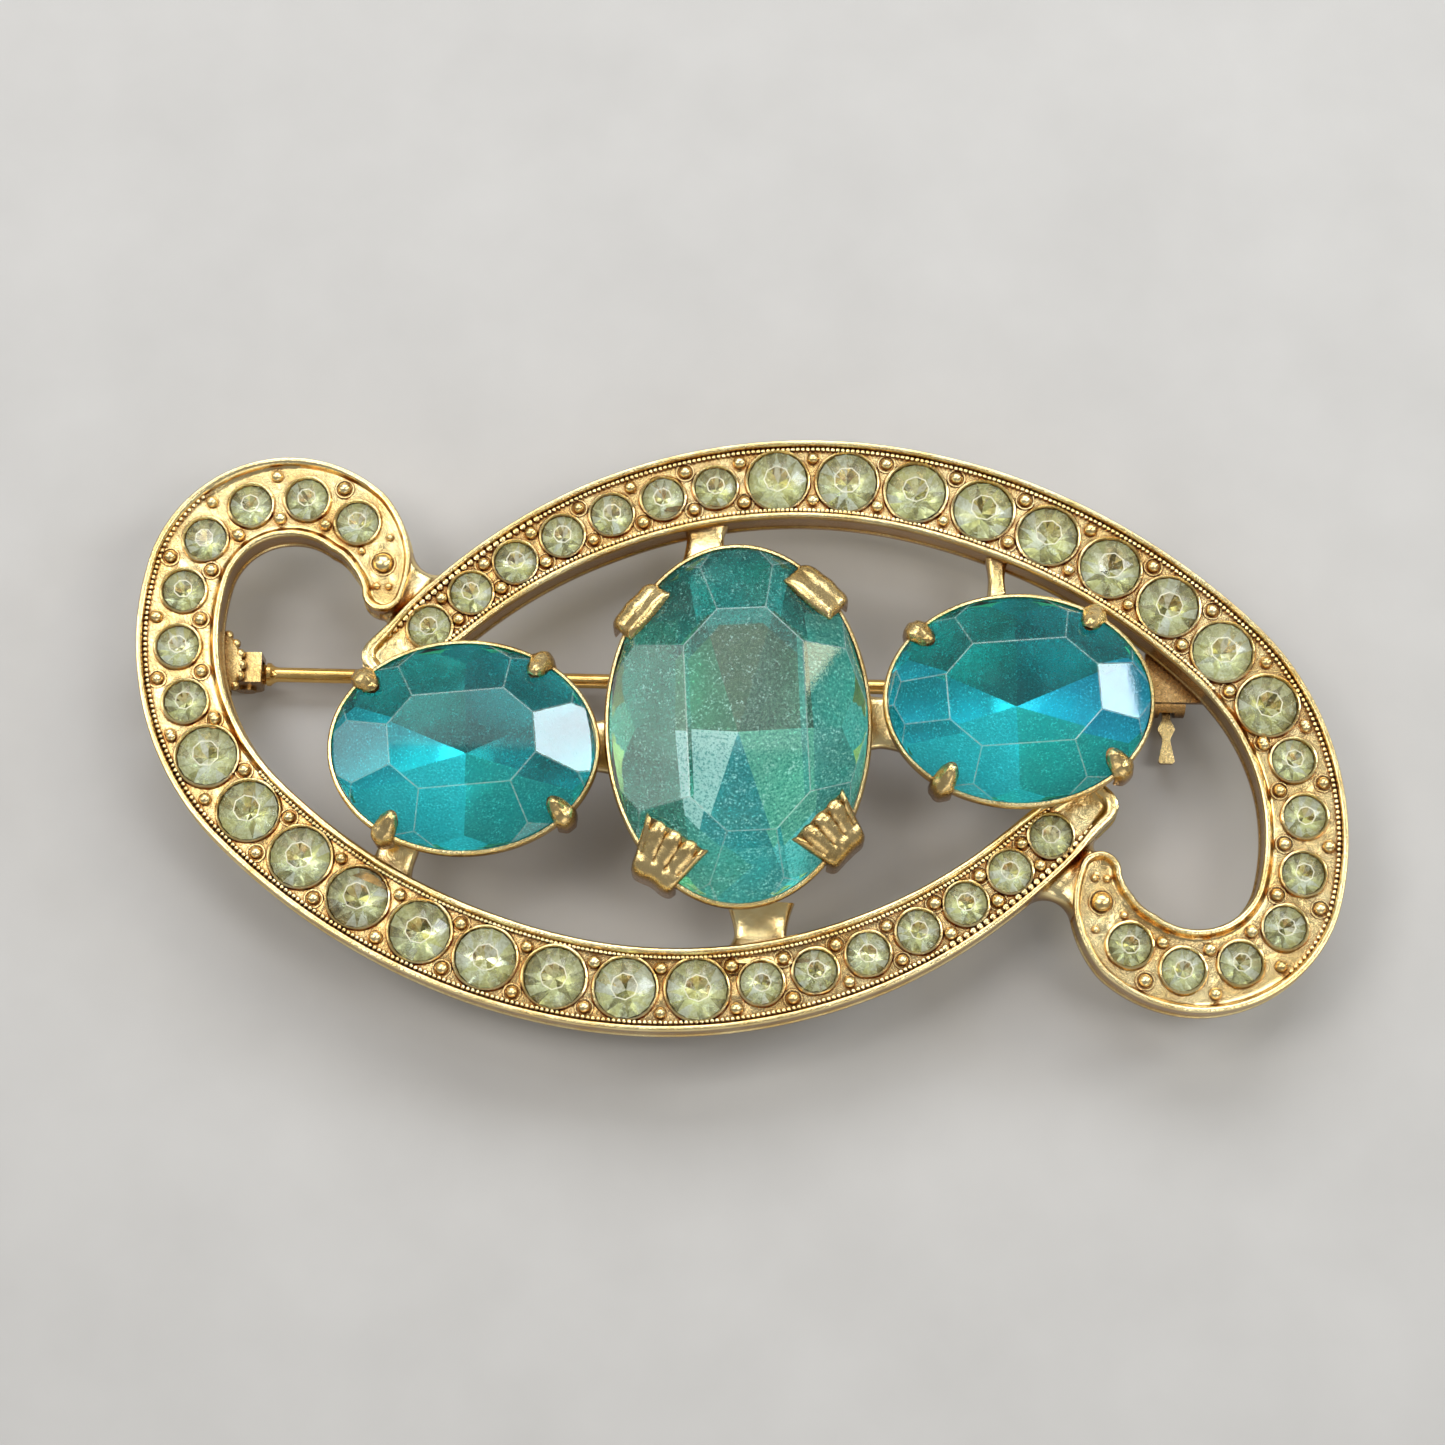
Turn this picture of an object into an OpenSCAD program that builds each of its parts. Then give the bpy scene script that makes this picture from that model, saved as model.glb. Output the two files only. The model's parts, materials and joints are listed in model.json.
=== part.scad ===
// Scroll brooch: two paste-set scroll arms round three oval stones, with a hinged pin and a safety catch.
// +X runs along the brooch, +Y up across it and +Z out of its face. The origin is under the middle
// of its outline, level with its lowest point, so the brooch lies on its back on the plane z = 0.

/* [Big stones] */
// Centre stone, length along X
centre_stone_x = 12.8; // [12.4:0.1:12.9]
// Centre stone, length along Y
centre_stone_y = 18; // [17.4:0.1:18.4]
// Side stones, length along X
side_stone_x = 13; // [12.6:0.1:13.1]
// Side stones, length along Y
side_stone_y = 10.4; // [9.8:0.1:10.6]
// Left stone's distance from the middle along X
left_offset_x = 13.6; // [13.55:0.05:13.8]
// Right stone's distance from the middle along X
right_offset_x = 13.95; // [13.7:0.05:14.1]
// Side stones' distance from the middle along Y, down on the left and up on the right
side_offset_y = 1.2; // [1:0.05:1.4]
// Crown height of the centre stone
centre_crown = 1.9; // [1.6:0.1:2.1]
// Crown height of a side stone
side_crown = 1.6; // [1.4:0.1:1.8]
// Pavilion depth of the centre stone
centre_pavilion = 3.7; // [3.4:0.1:3.8]
// Pavilion depth of a side stone
side_pavilion = 3; // [2.7:0.1:3.1]

/* [Scroll arms] */
// Where the curl's tip starts, on the arm's centreline
arm_start_x = -17.95; // [-18.1:0.05:-17.8]
// Where the curl's tip starts, on the arm's centreline
arm_start_y = 7.2; // [7.1:0.05:7.3]
// Direction in which the arm leaves its tip, in degrees from +X
arm_start_angle = 83; // [82:0.5:84]
// Thickness of an arm from its back to the top of its rims
arm_thickness = 2; // [1.8:0.1:2.1]
// Width of the raised rims along the arm's edges
rim_width = 0.4; // [0.3:0.05:0.45]
// Height of the rims over the floor that holds the paste stones
rim_height = 0.4; // [0.3:0.05:0.5]

/* [Paste stones] */
// Diameter of the small paste stones, in the curl and the tail
small_paste_d = 2.1; // [1.9:0.05:2.2]
// Diameter of the large paste stones, along the wide band
large_paste_d = 3; // [2.8:0.05:3.1]

/* [Pin] */
// Height of the pin's axis over the surface
pin_z = 1.3; // [1.3:0.05:1.35]
// Diameter of the pin wire
pin_d = 0.76; // [0.7:0.02:0.8]
// Length of the pin's straight wire
pin_straight = 45; // [44.5:0.1:45.5]
// Length of the pin's ground point
pin_point = 3.4; // [3:0.1:4]
// Slope of the pin across the brooch, in degrees
pin_angle = -1.2; // [-1.5:0.1:-1]
// Hinge rivet's place along X
hinge_x = -25.2; // [-25.3:0.05:-25.1]
// Hinge rivet's place along Y
hinge_y = 3.85; // [3.7:0.05:4]
// Diameter of the hinge rivet
rivet_d = 0.6; // [0.56:0.02:0.64]
// Catch's distance from the hinge rivet along the pin
catch_x = 47.2; // [47:0.05:47.4]

/* [Hidden] */
$fn = 48;
gap = 0.02;

gold = "#d9b866";
dark_gold = "#b08a3e";
teal = "#0d8f95";
pale_teal = "#5fb3a8";
paste = "#d9dcb0";
silver = "#b9bfae";

// Heights
frame_z = 3.4;
arm_top = frame_z + arm_thickness;
arm_floor = arm_top - rim_height;
centre_girdle = arm_top + 1;
side_girdle = arm_top + 1.1;
girdle_t = 0.25;
strut_z = frame_z + 0.2;

// Arm: [radius, turn in degrees] of each arc of its centreline, from the curl's tip to the tail
arm_arcs = [[4.2, 56], [5.2, 116], [12.7, 60], [31.5, 33], [26.6, 52], [60, 4.3]];
arm_length = arc_sum(arm_arcs);
arm_steps = 96;
cap_steps = 8;
// Half the arm's width at distances along its centreline
arm_half_widths = [
  [0, 1.1], [1.6, 1.6], [4, 2.05], [8, 2.14], [20, 2.14], [26, 2.24], [42, 2.24],
  [54, 2.1], [62, 1.98], [68, 1.8], [72, 1.7], [74, 1.6]
];
// Runs of paste stones: [distance of the first, spacing, number, diameter]
curl_run = [4.05, 2.91, 7, small_paste_d];
band_run = [24.55, 3.54, 9, large_paste_d];
tail_run = [56.05, 2.74, 7, small_paste_d];
paste_seat_depth = 1.3;

// Proportions of the big stones, as shares of their half axes
table_x = 0.6;
table_y = 0.71;
culet = 0.12;

// Settings
setting_wall = 0.22;
setting_foot = 0.45;
side_setting_foot = 0.5;
window_w = 1.7;
touching = 0.01;
centre_a = centre_stone_x / 2;
centre_b = centre_stone_y / 2;
side_a = side_stone_x / 2;
side_b = side_stone_y / 2;
centre_depth = centre_pavilion + 0.15;
side_depth = side_pavilion + 0.35;

// Centre prongs: [direction in degrees, sideways shift, length over the crown] of each
centre_prong_places = [[49, 1.45, 1.5], [140, -1.3, 1], [238, 0.5, 2.1], [315, -0.7, 1.8]];
centre_prong_w = 2.9;
prong_t = 0.4;
// Side claws: directions in degrees of two, which repeat half a turn away
side_prong_angles = [60, 133];
side_prong = [1.2, 1.3, prong_t];

// Hinge and catch
knuckle_r = 0.75;
knuckle_w = 0.9;
ear_t = 0.28;
ear_gap = 0.05;
running = 0.03;
plate_t = 0.5;
bracket_t = 0.35;
ear_r = 0.9;
housing_r = pin_z;
housing_w = 1.8;
housing_bore = 0.88;
groove_r = 1.06;
groove_w = 0.8;
rotor_bore = 0.5;
rotor_clear = 0.05;
catch_slot = 0.96;
lever_start = 180;
lever_travel = 120;

// Chain of arcs: a place is [x, y, heading]
function arc_len(a) = a[0] * a[1] * PI / 180;
function arc_sum(list, i = 0) = i == len(list) ? 0 : arc_len(list[i]) + arc_sum(list, i + 1);
function along_arc(p, r, s) = let (h = p[2] + s / r * 180 / PI)
  [p[0] + r * (sin(h) - sin(p[2])), p[1] - r * (cos(h) - cos(p[2])), h];
function arm_at(s, p = [arm_start_x, arm_start_y, arm_start_angle], i = 0) =
  let (l = arc_len(arm_arcs[i]))
  s <= l || i == len(arm_arcs) - 1
    ? along_arc(p, arm_arcs[i][0], s)
    : arm_at(s - l, along_arc(p, arm_arcs[i][0], l), i + 1);
function beside(p, d) = [p[0] + d * sin(p[2]), p[1] - d * cos(p[2])];
function cap(p, r, from) = [for (i = [1:cap_steps - 1])
  let (a = p[2] + from + 180 * i / cap_steps) [p[0] + r * cos(a), p[1] + r * sin(a)]];
function half_width(s, inset) = lookup(s, arm_half_widths) - inset;
function arm_outline(inset) = concat(
  [for (i = [0:arm_steps]) let (s = arm_length * i / arm_steps) beside(arm_at(s), half_width(s, inset))],
  cap(arm_at(arm_length), half_width(arm_length, inset), -90),
  [for (i = [arm_steps:-1:0]) let (s = arm_length * i / arm_steps) beside(arm_at(s), -half_width(s, inset))],
  cap(arm_at(0), half_width(0, inset), 90)
);

// Ellipses with half axes a and b
function ellipse_points(a, b, n = 40) = [for (i = [0:n - 1]) [a * cos(360 * i / n), b * sin(360 * i / n)]];
function reach(a, b, angle) = norm([a * cos(angle), b * sin(angle)]);
function touch(a, b, angle) = [a * a * cos(angle), b * b * sin(angle)] / reach(a, b, angle);

module ellipse_disc(a, b, t = 0.01) {
  linear_extrude(t) polygon(ellipse_points(a, b));
}

module left_place(z = 0) { translate([-left_offset_x, -side_offset_y, z]) children(); }
module right_place(z = 0) { translate([right_offset_x, side_offset_y, z]) children(); }
module half_turn() { rotate([0, 0, 180]) children(); }

// ---- scroll arms ----
module arm_body() {
  translate([0, 0, frame_z]) {
    linear_extrude(arm_thickness - rim_height) polygon(arm_outline(0));
    linear_extrude(arm_thickness) difference() {
      polygon(arm_outline(0));
      polygon(arm_outline(rim_width));
    }
  }
}

module at_pastes(run) {
  for (i = [0:run[2] - 1]) {
    p = arm_at(run[0] + i * run[1]);
    translate([p[0], p[1], arm_floor]) children();
  }
}

module seats(run) {
  at_pastes(run) translate([0, 0, -paste_seat_depth])
    cylinder(d = run[3] + 2 * gap, h = paste_seat_depth + rim_height + 1);
}

module scroll() {
  difference() {
    arm_body();
    seats(curl_run);
    seats(band_run);
    seats(tail_run);
  }
}

module left_scroll() { color(gold) scroll(); }
module right_scroll() { color(gold) half_turn() scroll(); }

// Both arms' full outlines, which their neighbours are cut back from
module both_arms() {
  for (turn = [0, 180]) rotate([0, 0, turn]) translate([0, 0, frame_z - 1])
    linear_extrude(arm_thickness + 1) polygon(arm_outline(0));
}

// Web that joins the curl of one arm to the tail of the other
module web() {
  difference() {
    translate([0, 0, frame_z]) linear_extrude(arm_thickness - rim_height - 0.1)
      polygon([[-17.3, 5.2], [-17.3, 8], [-16.3, 9.6], [-14.9, 8.6], [-14.4, 6.8], [-16.2, 5.4]]);
    both_arms();
  }
}
module upper_web() { color(gold) web(); }
module lower_web() { color(gold) half_turn() web(); }

// ---- settings ----
// Open-backed basket for a stone with half axes a and b
module basket_shape(a, b, z, depth, foot, grow) {
  hull() {
    translate([0, 0, z]) ellipse_disc(a + grow, b + grow, girdle_t);
    translate([0, 0, z - depth]) ellipse_disc(a * foot + grow, b * foot + grow);
  }
}

module basket(a, b, z, depth, foot, windows) {
  difference() {
    basket_shape(a, b, z, depth, foot, setting_wall);
    basket_shape(a, b, z + gap, depth + 0.1, foot, gap);
    for (i = [0:windows - 1]) {
      angle = 360 * (i + 0.5) / windows;
      rotate([0, 0, angle]) translate([0, 0, z - depth * 0.55]) rotate([90, 0, 90])
        linear_extrude(a + b) window_outline();
    }
  }
}
// Window in a basket's wall, with a pointed top
module window_outline() {
  side = window_w / 2;
  polygon([[-side, -0.7], [side, -0.7], [side, 0.4], [0, 1], [-side, 0.4]]);
}

// Outside of a setting, grown a hair so that what is cut back from it only touches
module centre_outside() {
  basket_shape(centre_a, centre_b, centre_girdle, centre_depth, setting_foot, setting_wall + touching);
}
module side_outside() {
  basket_shape(side_a, side_b, side_girdle, side_depth, side_setting_foot, setting_wall + touching);
}

module centre_setting() {
  color(gold) basket(centre_a, centre_b, centre_girdle, centre_depth, setting_foot, 10);
}
module side_basket() {
  color(gold) basket(side_a, side_b, side_girdle, side_depth, side_setting_foot, 8);
}
module left_setting() {
  difference() {
    left_place() side_basket();
    both_arms();
  }
}
module right_setting() {
  difference() {
    right_place() half_turn() side_basket();
    both_arms();
  }
}

// Tab that stands outside the setting and folds over the stone's crown; size is [width, length, thickness]
module prong(size, rise, leg) {
  lift = 0.25;
  rotate([90, 0, 0]) translate([0, 0, -size[0] / 2]) linear_extrude(size[0])
    polygon([
      [gap, -leg],
      [gap, girdle_t + lift * 0.5],
      [-size[1], girdle_t + lift + size[1] * rise],
      [-size[1] + 0.1, girdle_t + lift + size[2] + size[1] * rise],
      [size[2] * 0.6, girdle_t + lift + size[2]],
      [size[2], girdle_t + lift],
      [size[2], -leg]
    ]);
}

module centre_prongs() {
  a = centre_a + setting_wall;
  b = centre_b + setting_wall;
  color(dark_gold) translate([0, 0, centre_girdle])
    for (place = centre_prong_places)
      rotate([0, 0, place[0]]) translate([reach(a, b, place[0]), place[1], 0])
        prong([centre_prong_w, place[2], prong_t], 0.68, 1.6);
}

module side_prong_set() {
  a = side_a + setting_wall;
  b = side_b + setting_wall;
  color(dark_gold) translate([0, 0, side_girdle])
    for (turn = [0, 180], angle = side_prong_angles)
      rotate([0, 0, turn]) translate(touch(a, b, angle)) rotate([0, 0, angle])
        prong(side_prong, 0.55, 0.95);
}
module left_prongs() { left_place() side_prong_set(); }
module right_prongs() { right_place() side_prong_set(); }

// ---- big stones ----
// Oval stone with an eight-sided table; its girdle starts at z = 0
module oval_stone(a, b, crown, pavilion) {
  skin = 0.01;
  hull() {
    ellipse_disc(a, b, girdle_t);
    translate([0, 0, girdle_t + crown - skin]) linear_extrude(skin)
      polygon([for (i = [0:7])
        let (angle = 45 * i + 22.5) [a * table_x * cos(angle), b * table_y * sin(angle)]]);
    translate([0, 0, -pavilion]) ellipse_disc(a * culet, b * culet);
  }
}

module centre_stone() {
  color(pale_teal) translate([0, 0, centre_girdle])
    oval_stone(centre_a, centre_b, centre_crown, centre_pavilion);
}
module side_stone() {
  oval_stone(side_a, side_b, side_crown, side_pavilion);
}
module left_stone() { color(teal) left_place(side_girdle) side_stone(); }
module right_stone() { color(teal) right_place(side_girdle) side_stone(); }

// Foil cup that lies behind a stone's pavilion
module foil(a, b, pavilion) {
  foil_t = 0.08;
  inside = 0.03;
  outside = inside + foil_t;
  top = -0.5;
  shrink = (1 - culet) * (1 + top / pavilion) + culet;
  difference() {
    hull() {
      translate([0, 0, top]) ellipse_disc(a * shrink + outside, b * shrink + outside);
      translate([0, 0, -pavilion - gap - foil_t]) ellipse_disc(a * culet + outside, b * culet + outside);
    }
    hull() {
      ellipse_disc(a + inside, b + inside);
      translate([0, 0, -pavilion - gap]) ellipse_disc(a * culet + inside, b * culet + inside);
    }
  }
}
module centre_foil() {
  color(silver) translate([0, 0, centre_girdle]) foil(centre_a, centre_b, centre_pavilion);
}
module side_foil() { foil(side_a, side_b, side_pavilion); }
module left_foil() { color(silver) left_place(side_girdle) side_foil(); }
module right_foil() { color(silver) right_place(side_girdle) side_foil(); }

// ---- paste stones ----
module paste_stone(d) {
  band = 0.08;
  translate([0, 0, band]) cylinder(d1 = d, d2 = d * 0.56, h = d * 0.16);
  cylinder(d = d, h = band);
  translate([0, 0, -d * 0.38]) cylinder(d1 = d * 0.08, d2 = d, h = d * 0.38);
}
module pastes(run) { color(paste) at_pastes(run) paste_stone(run[3]); }

module left_curl_pastes() { pastes(curl_run); }
module left_band_pastes() { pastes(band_run); }
module left_tail_pastes() { pastes(tail_run); }
module right_curl_pastes() { half_turn() pastes(curl_run); }
module right_band_pastes() { half_turn() pastes(band_run); }
module right_tail_pastes() { half_turn() pastes(tail_run); }

// ---- struts and bridges ----
// Strut between the centre setting and an arm's inner edge
module strut(x0, x1) {
  strut_h = 1.2;
  flare = 0.6;
  difference() {
    translate([0, 0, strut_z]) linear_extrude(strut_h)
      polygon([[x0, 5], [x0, 9.4], [x0 - flare, 11.6], [x1 + flare, 11.6], [x1, 9.4], [x1, 5]]);
    both_arms();
    centre_outside();
  }
}
module top_strut() { color(gold) strut(-3.1, -0.2); }
module bottom_strut() { color(gold) half_turn() strut(-3.1, 0.9); }

// Bridge between the centre setting and a side setting
module bridge_bar(x) {
  bridge_h = 1.1;
  bridge_w = 3.3;
  translate([x, -bridge_w / 2, strut_z]) cube([9, bridge_w, bridge_h]);
}
module left_bridge() {
  color(gold) difference() {
    translate([0, -side_offset_y / 2, 0]) bridge_bar(-12);
    centre_outside();
    left_place() side_outside();
  }
}
module right_bridge() {
  color(gold) difference() {
    translate([0, side_offset_y / 2, 0]) bridge_bar(3);
    centre_outside();
    right_place() side_outside();
  }
}

// Short post from the upper arm's inner edge to the right setting
module right_post() {
  color(gold) difference() {
    translate([12.7, 4, strut_z]) cube([0.9, 6, 1.1]);
    both_arms();
    right_place() side_outside();
  }
}

// Solder that joins the left setting to the lower arm's inner edge
module left_solder_joint() {
  color(gold) difference() {
    translate([-17.9, -7.6, strut_z]) linear_extrude(1.1)
      polygon([[0, 0], [1.6, 0], [2.6, 3.6], [1.4, 4.2]]);
    both_arms();
    left_place() side_outside();
  }
}

// ---- pin hinge ----
// The pin line: x runs along the pin from the rivet and y along the rivet
module on_pin_line(x = 0) {
  translate([hinge_x, hinge_y, pin_z]) rotate([0, 0, pin_angle]) translate([x, 0, 0]) children();
}
module across(r, w) { rotate([90, 0, 0]) translate([0, 0, -w / 2]) cylinder(r = r, h = w); }
module lengthwise(r, x0, x1) { translate([x0, 0, 0]) rotate([0, 90, 0]) cylinder(r = r, h = x1 - x0); }

plate_r = 2.3;
plate_shift = -2.1;
bracket_len = 3.4;
bracket_w = knuckle_w + 2 * (ear_gap + ear_t);
bracket_top = frame_z - plate_t - pin_z;

module hinge_plate() {
  color(dark_gold) on_pin_line(plate_shift) translate([0, 0, bracket_top])
    cylinder(r = plate_r, h = plate_t);
}

module hinge_bracket() {
  color(gold) on_pin_line() {
    translate([ear_r - bracket_len, -bracket_w / 2, bracket_top - bracket_t])
      cube([bracket_len, bracket_w, bracket_t]);
    for (side = [-1, 1]) difference() {
      translate([0, side * (bracket_w - ear_t) / 2, 0]) {
        across(ear_r, ear_t);
        translate([-ear_r, -ear_t / 2, 0]) cube([2 * ear_r, ear_t, bracket_top - bracket_t]);
      }
      across(rivet_d / 2, bracket_w + 1);
    }
  }
}

module hinge_rivet() {
  head_t = 0.15;
  color(dark_gold) on_pin_line() {
    across(rivet_d / 2, bracket_w);
    for (side = [-1, 1]) translate([0, side * (bracket_w + head_t) / 2, 0]) across(0.5, head_t);
  }
}

// ---- pin ----
collar = [0.95, 1.3];
collar_r = 0.6;
shank_w = 0.85;
pin_tip_r = 0.06;
module pin_knuckle() {
  color(gold) on_pin_line() difference() {
    union() {
      across(knuckle_r, knuckle_w);
      translate([0, -shank_w / 2, -shank_w / 2]) cube([collar[0], shank_w, shank_w]);
    }
    across(rivet_d / 2 + running, knuckle_w + 1);
  }
}

module pin_stem() {
  color(gold) on_pin_line() {
    lengthwise(collar_r, collar[0], collar[1]);
    lengthwise(pin_d / 2, collar[1], collar[1] + pin_straight);
    translate([collar[1] + pin_straight, 0, 0]) rotate([0, 90, 0])
      cylinder(r1 = pin_d / 2, r2 = pin_tip_r, h = pin_point);
  }
}

// ---- safety catch ----
// Prism between two angles round the pin's axis, from +Y towards +Z
module sector(from, to, r, w) {
  steps = 6;
  translate([-w / 2, 0, 0]) rotate([90, 0, 90]) linear_extrude(w)
    polygon(concat(
      [[0, 0]],
      [for (i = [0:steps]) let (a = from + (to - from) * i / steps) [r * cos(a), r * sin(a)]]
    ));
}
module slot(r) { translate([-housing_w, -catch_slot / 2, -r]) cube([2 * housing_w, catch_slot, r]); }

module catch_base() {
  plate = [[-1.3, -1], [3.6, -1], [3.6, 1.5], [-1.3, 1.5]];
  web_w = 1.1;
  catch_plate_t = 0.4;
  color(gold) on_pin_line(catch_x) {
    difference() {
      union() {
        lengthwise(housing_r, -housing_w / 2, housing_w / 2);
        translate([-housing_w / 2, -web_w / 2, 0]) cube([housing_w, web_w, frame_z - pin_z - catch_plate_t]);
      }
      lengthwise(housing_bore, -housing_w, housing_w);
      lengthwise(groove_r, -groove_w / 2, groove_w / 2);
      slot(2);
      sector(lever_start - 25, lever_start + lever_travel + 25, 3, groove_w);
    }
    translate([0, 0, frame_z - pin_z - catch_plate_t]) linear_extrude(catch_plate_t) polygon(plate);
  }
}

// Lever's outline: [distance from the pin's axis, half width], a leaf and then a paddle
lever = [[1.45, 0.2], [1.95, 0.45], [2.45, 0.2], [2.7, 0.22], [3.65, 0.42], [3.75, 0.3]];
module catch_rotor() {
  flange_w = groove_w - 2 * rotor_clear;
  neck = [0.4, 1.1, 0.3];
  color(gold) on_pin_line(catch_x) {
    difference() {
      union() {
        lengthwise(housing_bore - rotor_clear, -housing_w / 2, housing_w / 2);
        lengthwise(groove_r - rotor_clear, -flange_w / 2, flange_w / 2);
        translate([-neck[0] / 2, -neck[1] - 0.7, -neck[2] / 2]) cube(neck);
      }
      lengthwise(rotor_bore, -housing_w, housing_w);
      slot(2);
    }
    translate([0, 0, -neck[2] / 2]) linear_extrude(neck[2])
      polygon(concat(
        [for (p = lever) [-p[1], -p[0]]],
        [for (i = [len(lever) - 1:-1:0]) [lever[i][1], -lever[i][0]]]
      ));
  }
}

left_scroll();
right_scroll();
upper_web();
lower_web();
top_strut();
bottom_strut();
left_bridge();
right_bridge();
right_post();
left_solder_joint();
centre_setting();
left_setting();
right_setting();
centre_prongs();
left_prongs();
right_prongs();
centre_stone();
left_stone();
right_stone();
centre_foil();
left_foil();
right_foil();
left_curl_pastes();
left_band_pastes();
left_tail_pastes();
right_curl_pastes();
right_band_pastes();
right_tail_pastes();
hinge_plate();
hinge_bracket();
hinge_rivet();
pin_knuckle();
pin_stem();
catch_base();
catch_rotor();
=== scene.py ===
"""Looks of the scroll brooch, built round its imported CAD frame.

Lengths are in millimetres until a mesh is made, and metres after that.
+X runs along the brooch, +Y up across it and +Z out of its face.
"""
import json
import random
from math import atan2, copysign, cos, degrees, hypot, pi, radians, sin, tau

import bmesh
import bpy
from mathutils import Matrix, Vector, noise


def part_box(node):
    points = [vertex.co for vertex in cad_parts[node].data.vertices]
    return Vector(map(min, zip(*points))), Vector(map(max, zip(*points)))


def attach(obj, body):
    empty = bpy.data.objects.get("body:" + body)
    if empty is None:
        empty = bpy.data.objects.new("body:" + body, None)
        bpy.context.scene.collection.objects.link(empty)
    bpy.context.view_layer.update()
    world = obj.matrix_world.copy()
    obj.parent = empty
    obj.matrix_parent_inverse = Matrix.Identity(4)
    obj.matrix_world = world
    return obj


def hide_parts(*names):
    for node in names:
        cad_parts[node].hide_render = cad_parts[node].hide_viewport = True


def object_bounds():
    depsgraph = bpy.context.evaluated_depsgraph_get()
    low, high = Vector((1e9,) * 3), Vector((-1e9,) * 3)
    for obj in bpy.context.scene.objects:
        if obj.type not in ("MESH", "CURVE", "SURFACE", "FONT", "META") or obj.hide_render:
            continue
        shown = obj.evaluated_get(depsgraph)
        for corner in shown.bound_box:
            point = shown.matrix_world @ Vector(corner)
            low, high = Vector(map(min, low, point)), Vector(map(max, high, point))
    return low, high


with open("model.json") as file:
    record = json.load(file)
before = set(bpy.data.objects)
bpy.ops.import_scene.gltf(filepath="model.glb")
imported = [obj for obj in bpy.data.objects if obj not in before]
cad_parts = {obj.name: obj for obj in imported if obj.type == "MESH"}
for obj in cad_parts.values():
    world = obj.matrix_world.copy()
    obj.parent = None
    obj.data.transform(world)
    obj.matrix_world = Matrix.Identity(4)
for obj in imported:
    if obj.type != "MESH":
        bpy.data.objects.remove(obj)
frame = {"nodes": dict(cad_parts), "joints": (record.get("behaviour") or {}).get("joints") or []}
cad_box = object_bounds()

MM = 0.001
WELD = 1e-7
SHARP_ANGLE = 35
OVAL_STEPS = 120

# Scroll arm: the same arcs, widths and stones as the CAD arm
ARM_START = (-17.95, 7.2, 83)
ARM_ARCS = [(4.2, 56), (5.2, 116), (12.7, 60), (31.5, 33), (26.6, 52), (60, 4.3)]
ARM_HALF_WIDTHS = [
    (0, 1.1), (1.6, 1.6), (4, 2.05), (8, 2.14), (20, 2.14), (26, 2.24),
    (42, 2.24), (54, 2.1), (62, 1.98), (68, 1.8), (72, 1.7), (74, 1.6),
]
# Place of a run's first paste stone along the arm, pitch, count and diameter
PASTE_RUNS = {"curl": (4.05, 2.91, 7, 2.1), "band": (24.55, 3.54, 9, 3.0), "tail": (56.05, 2.74, 7, 2.1)}
RIM_HEIGHT = 0.4
SEAT_DEPTH = 1.25

CENTRE_CROWN = 1.9
SIDE_CROWN = 1.6
GIRDLE = 0.25
SETTING_WALL = 0.22


# ---------------------------------------------------------------- places and meshes
def shift(x, y, z):
    return Matrix.Translation((x, y, z))


def turned(angle, axis):
    """Turn about an axis by an angle in degrees."""
    return Matrix.Rotation(radians(angle), 4, axis)


def polar(r, angle):
    return r * cos(angle), r * sin(angle)


def circle(r, n, z=0.0):
    return [(*polar(r, tau * i / n), z) for i in range(n)]


def oval(a, b, n, grow=0.0, z=0.0):
    """Points of an ellipse, each moved out along its normal by grow."""
    points = []
    for i in range(n):
        t = tau * i / n
        nx, ny = cos(t) / a, sin(t) / b
        length = hypot(nx, ny)
        points.append((a * cos(t) + grow * nx / length, b * sin(t) + grow * ny / length, z))
    return points


def pairs(items):
    """Each item with the next one, and the last with the first."""
    return zip(items, items[1:] + items[:1])


def upward(v):
    return v if v.z > 0 else -v


def wobble(x, y, z, size, seed):
    """Smooth noise from -1 to 1 that changes over about size millimetres."""
    return noise.noise(Vector((x / size, y / size, z / size + seed)))


UPRIGHT = Matrix.Identity(4)
HALF_TURN = turned(180, "Z")
SIDES = (("left", UPRIGHT), ("right", HALF_TURN))


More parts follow.
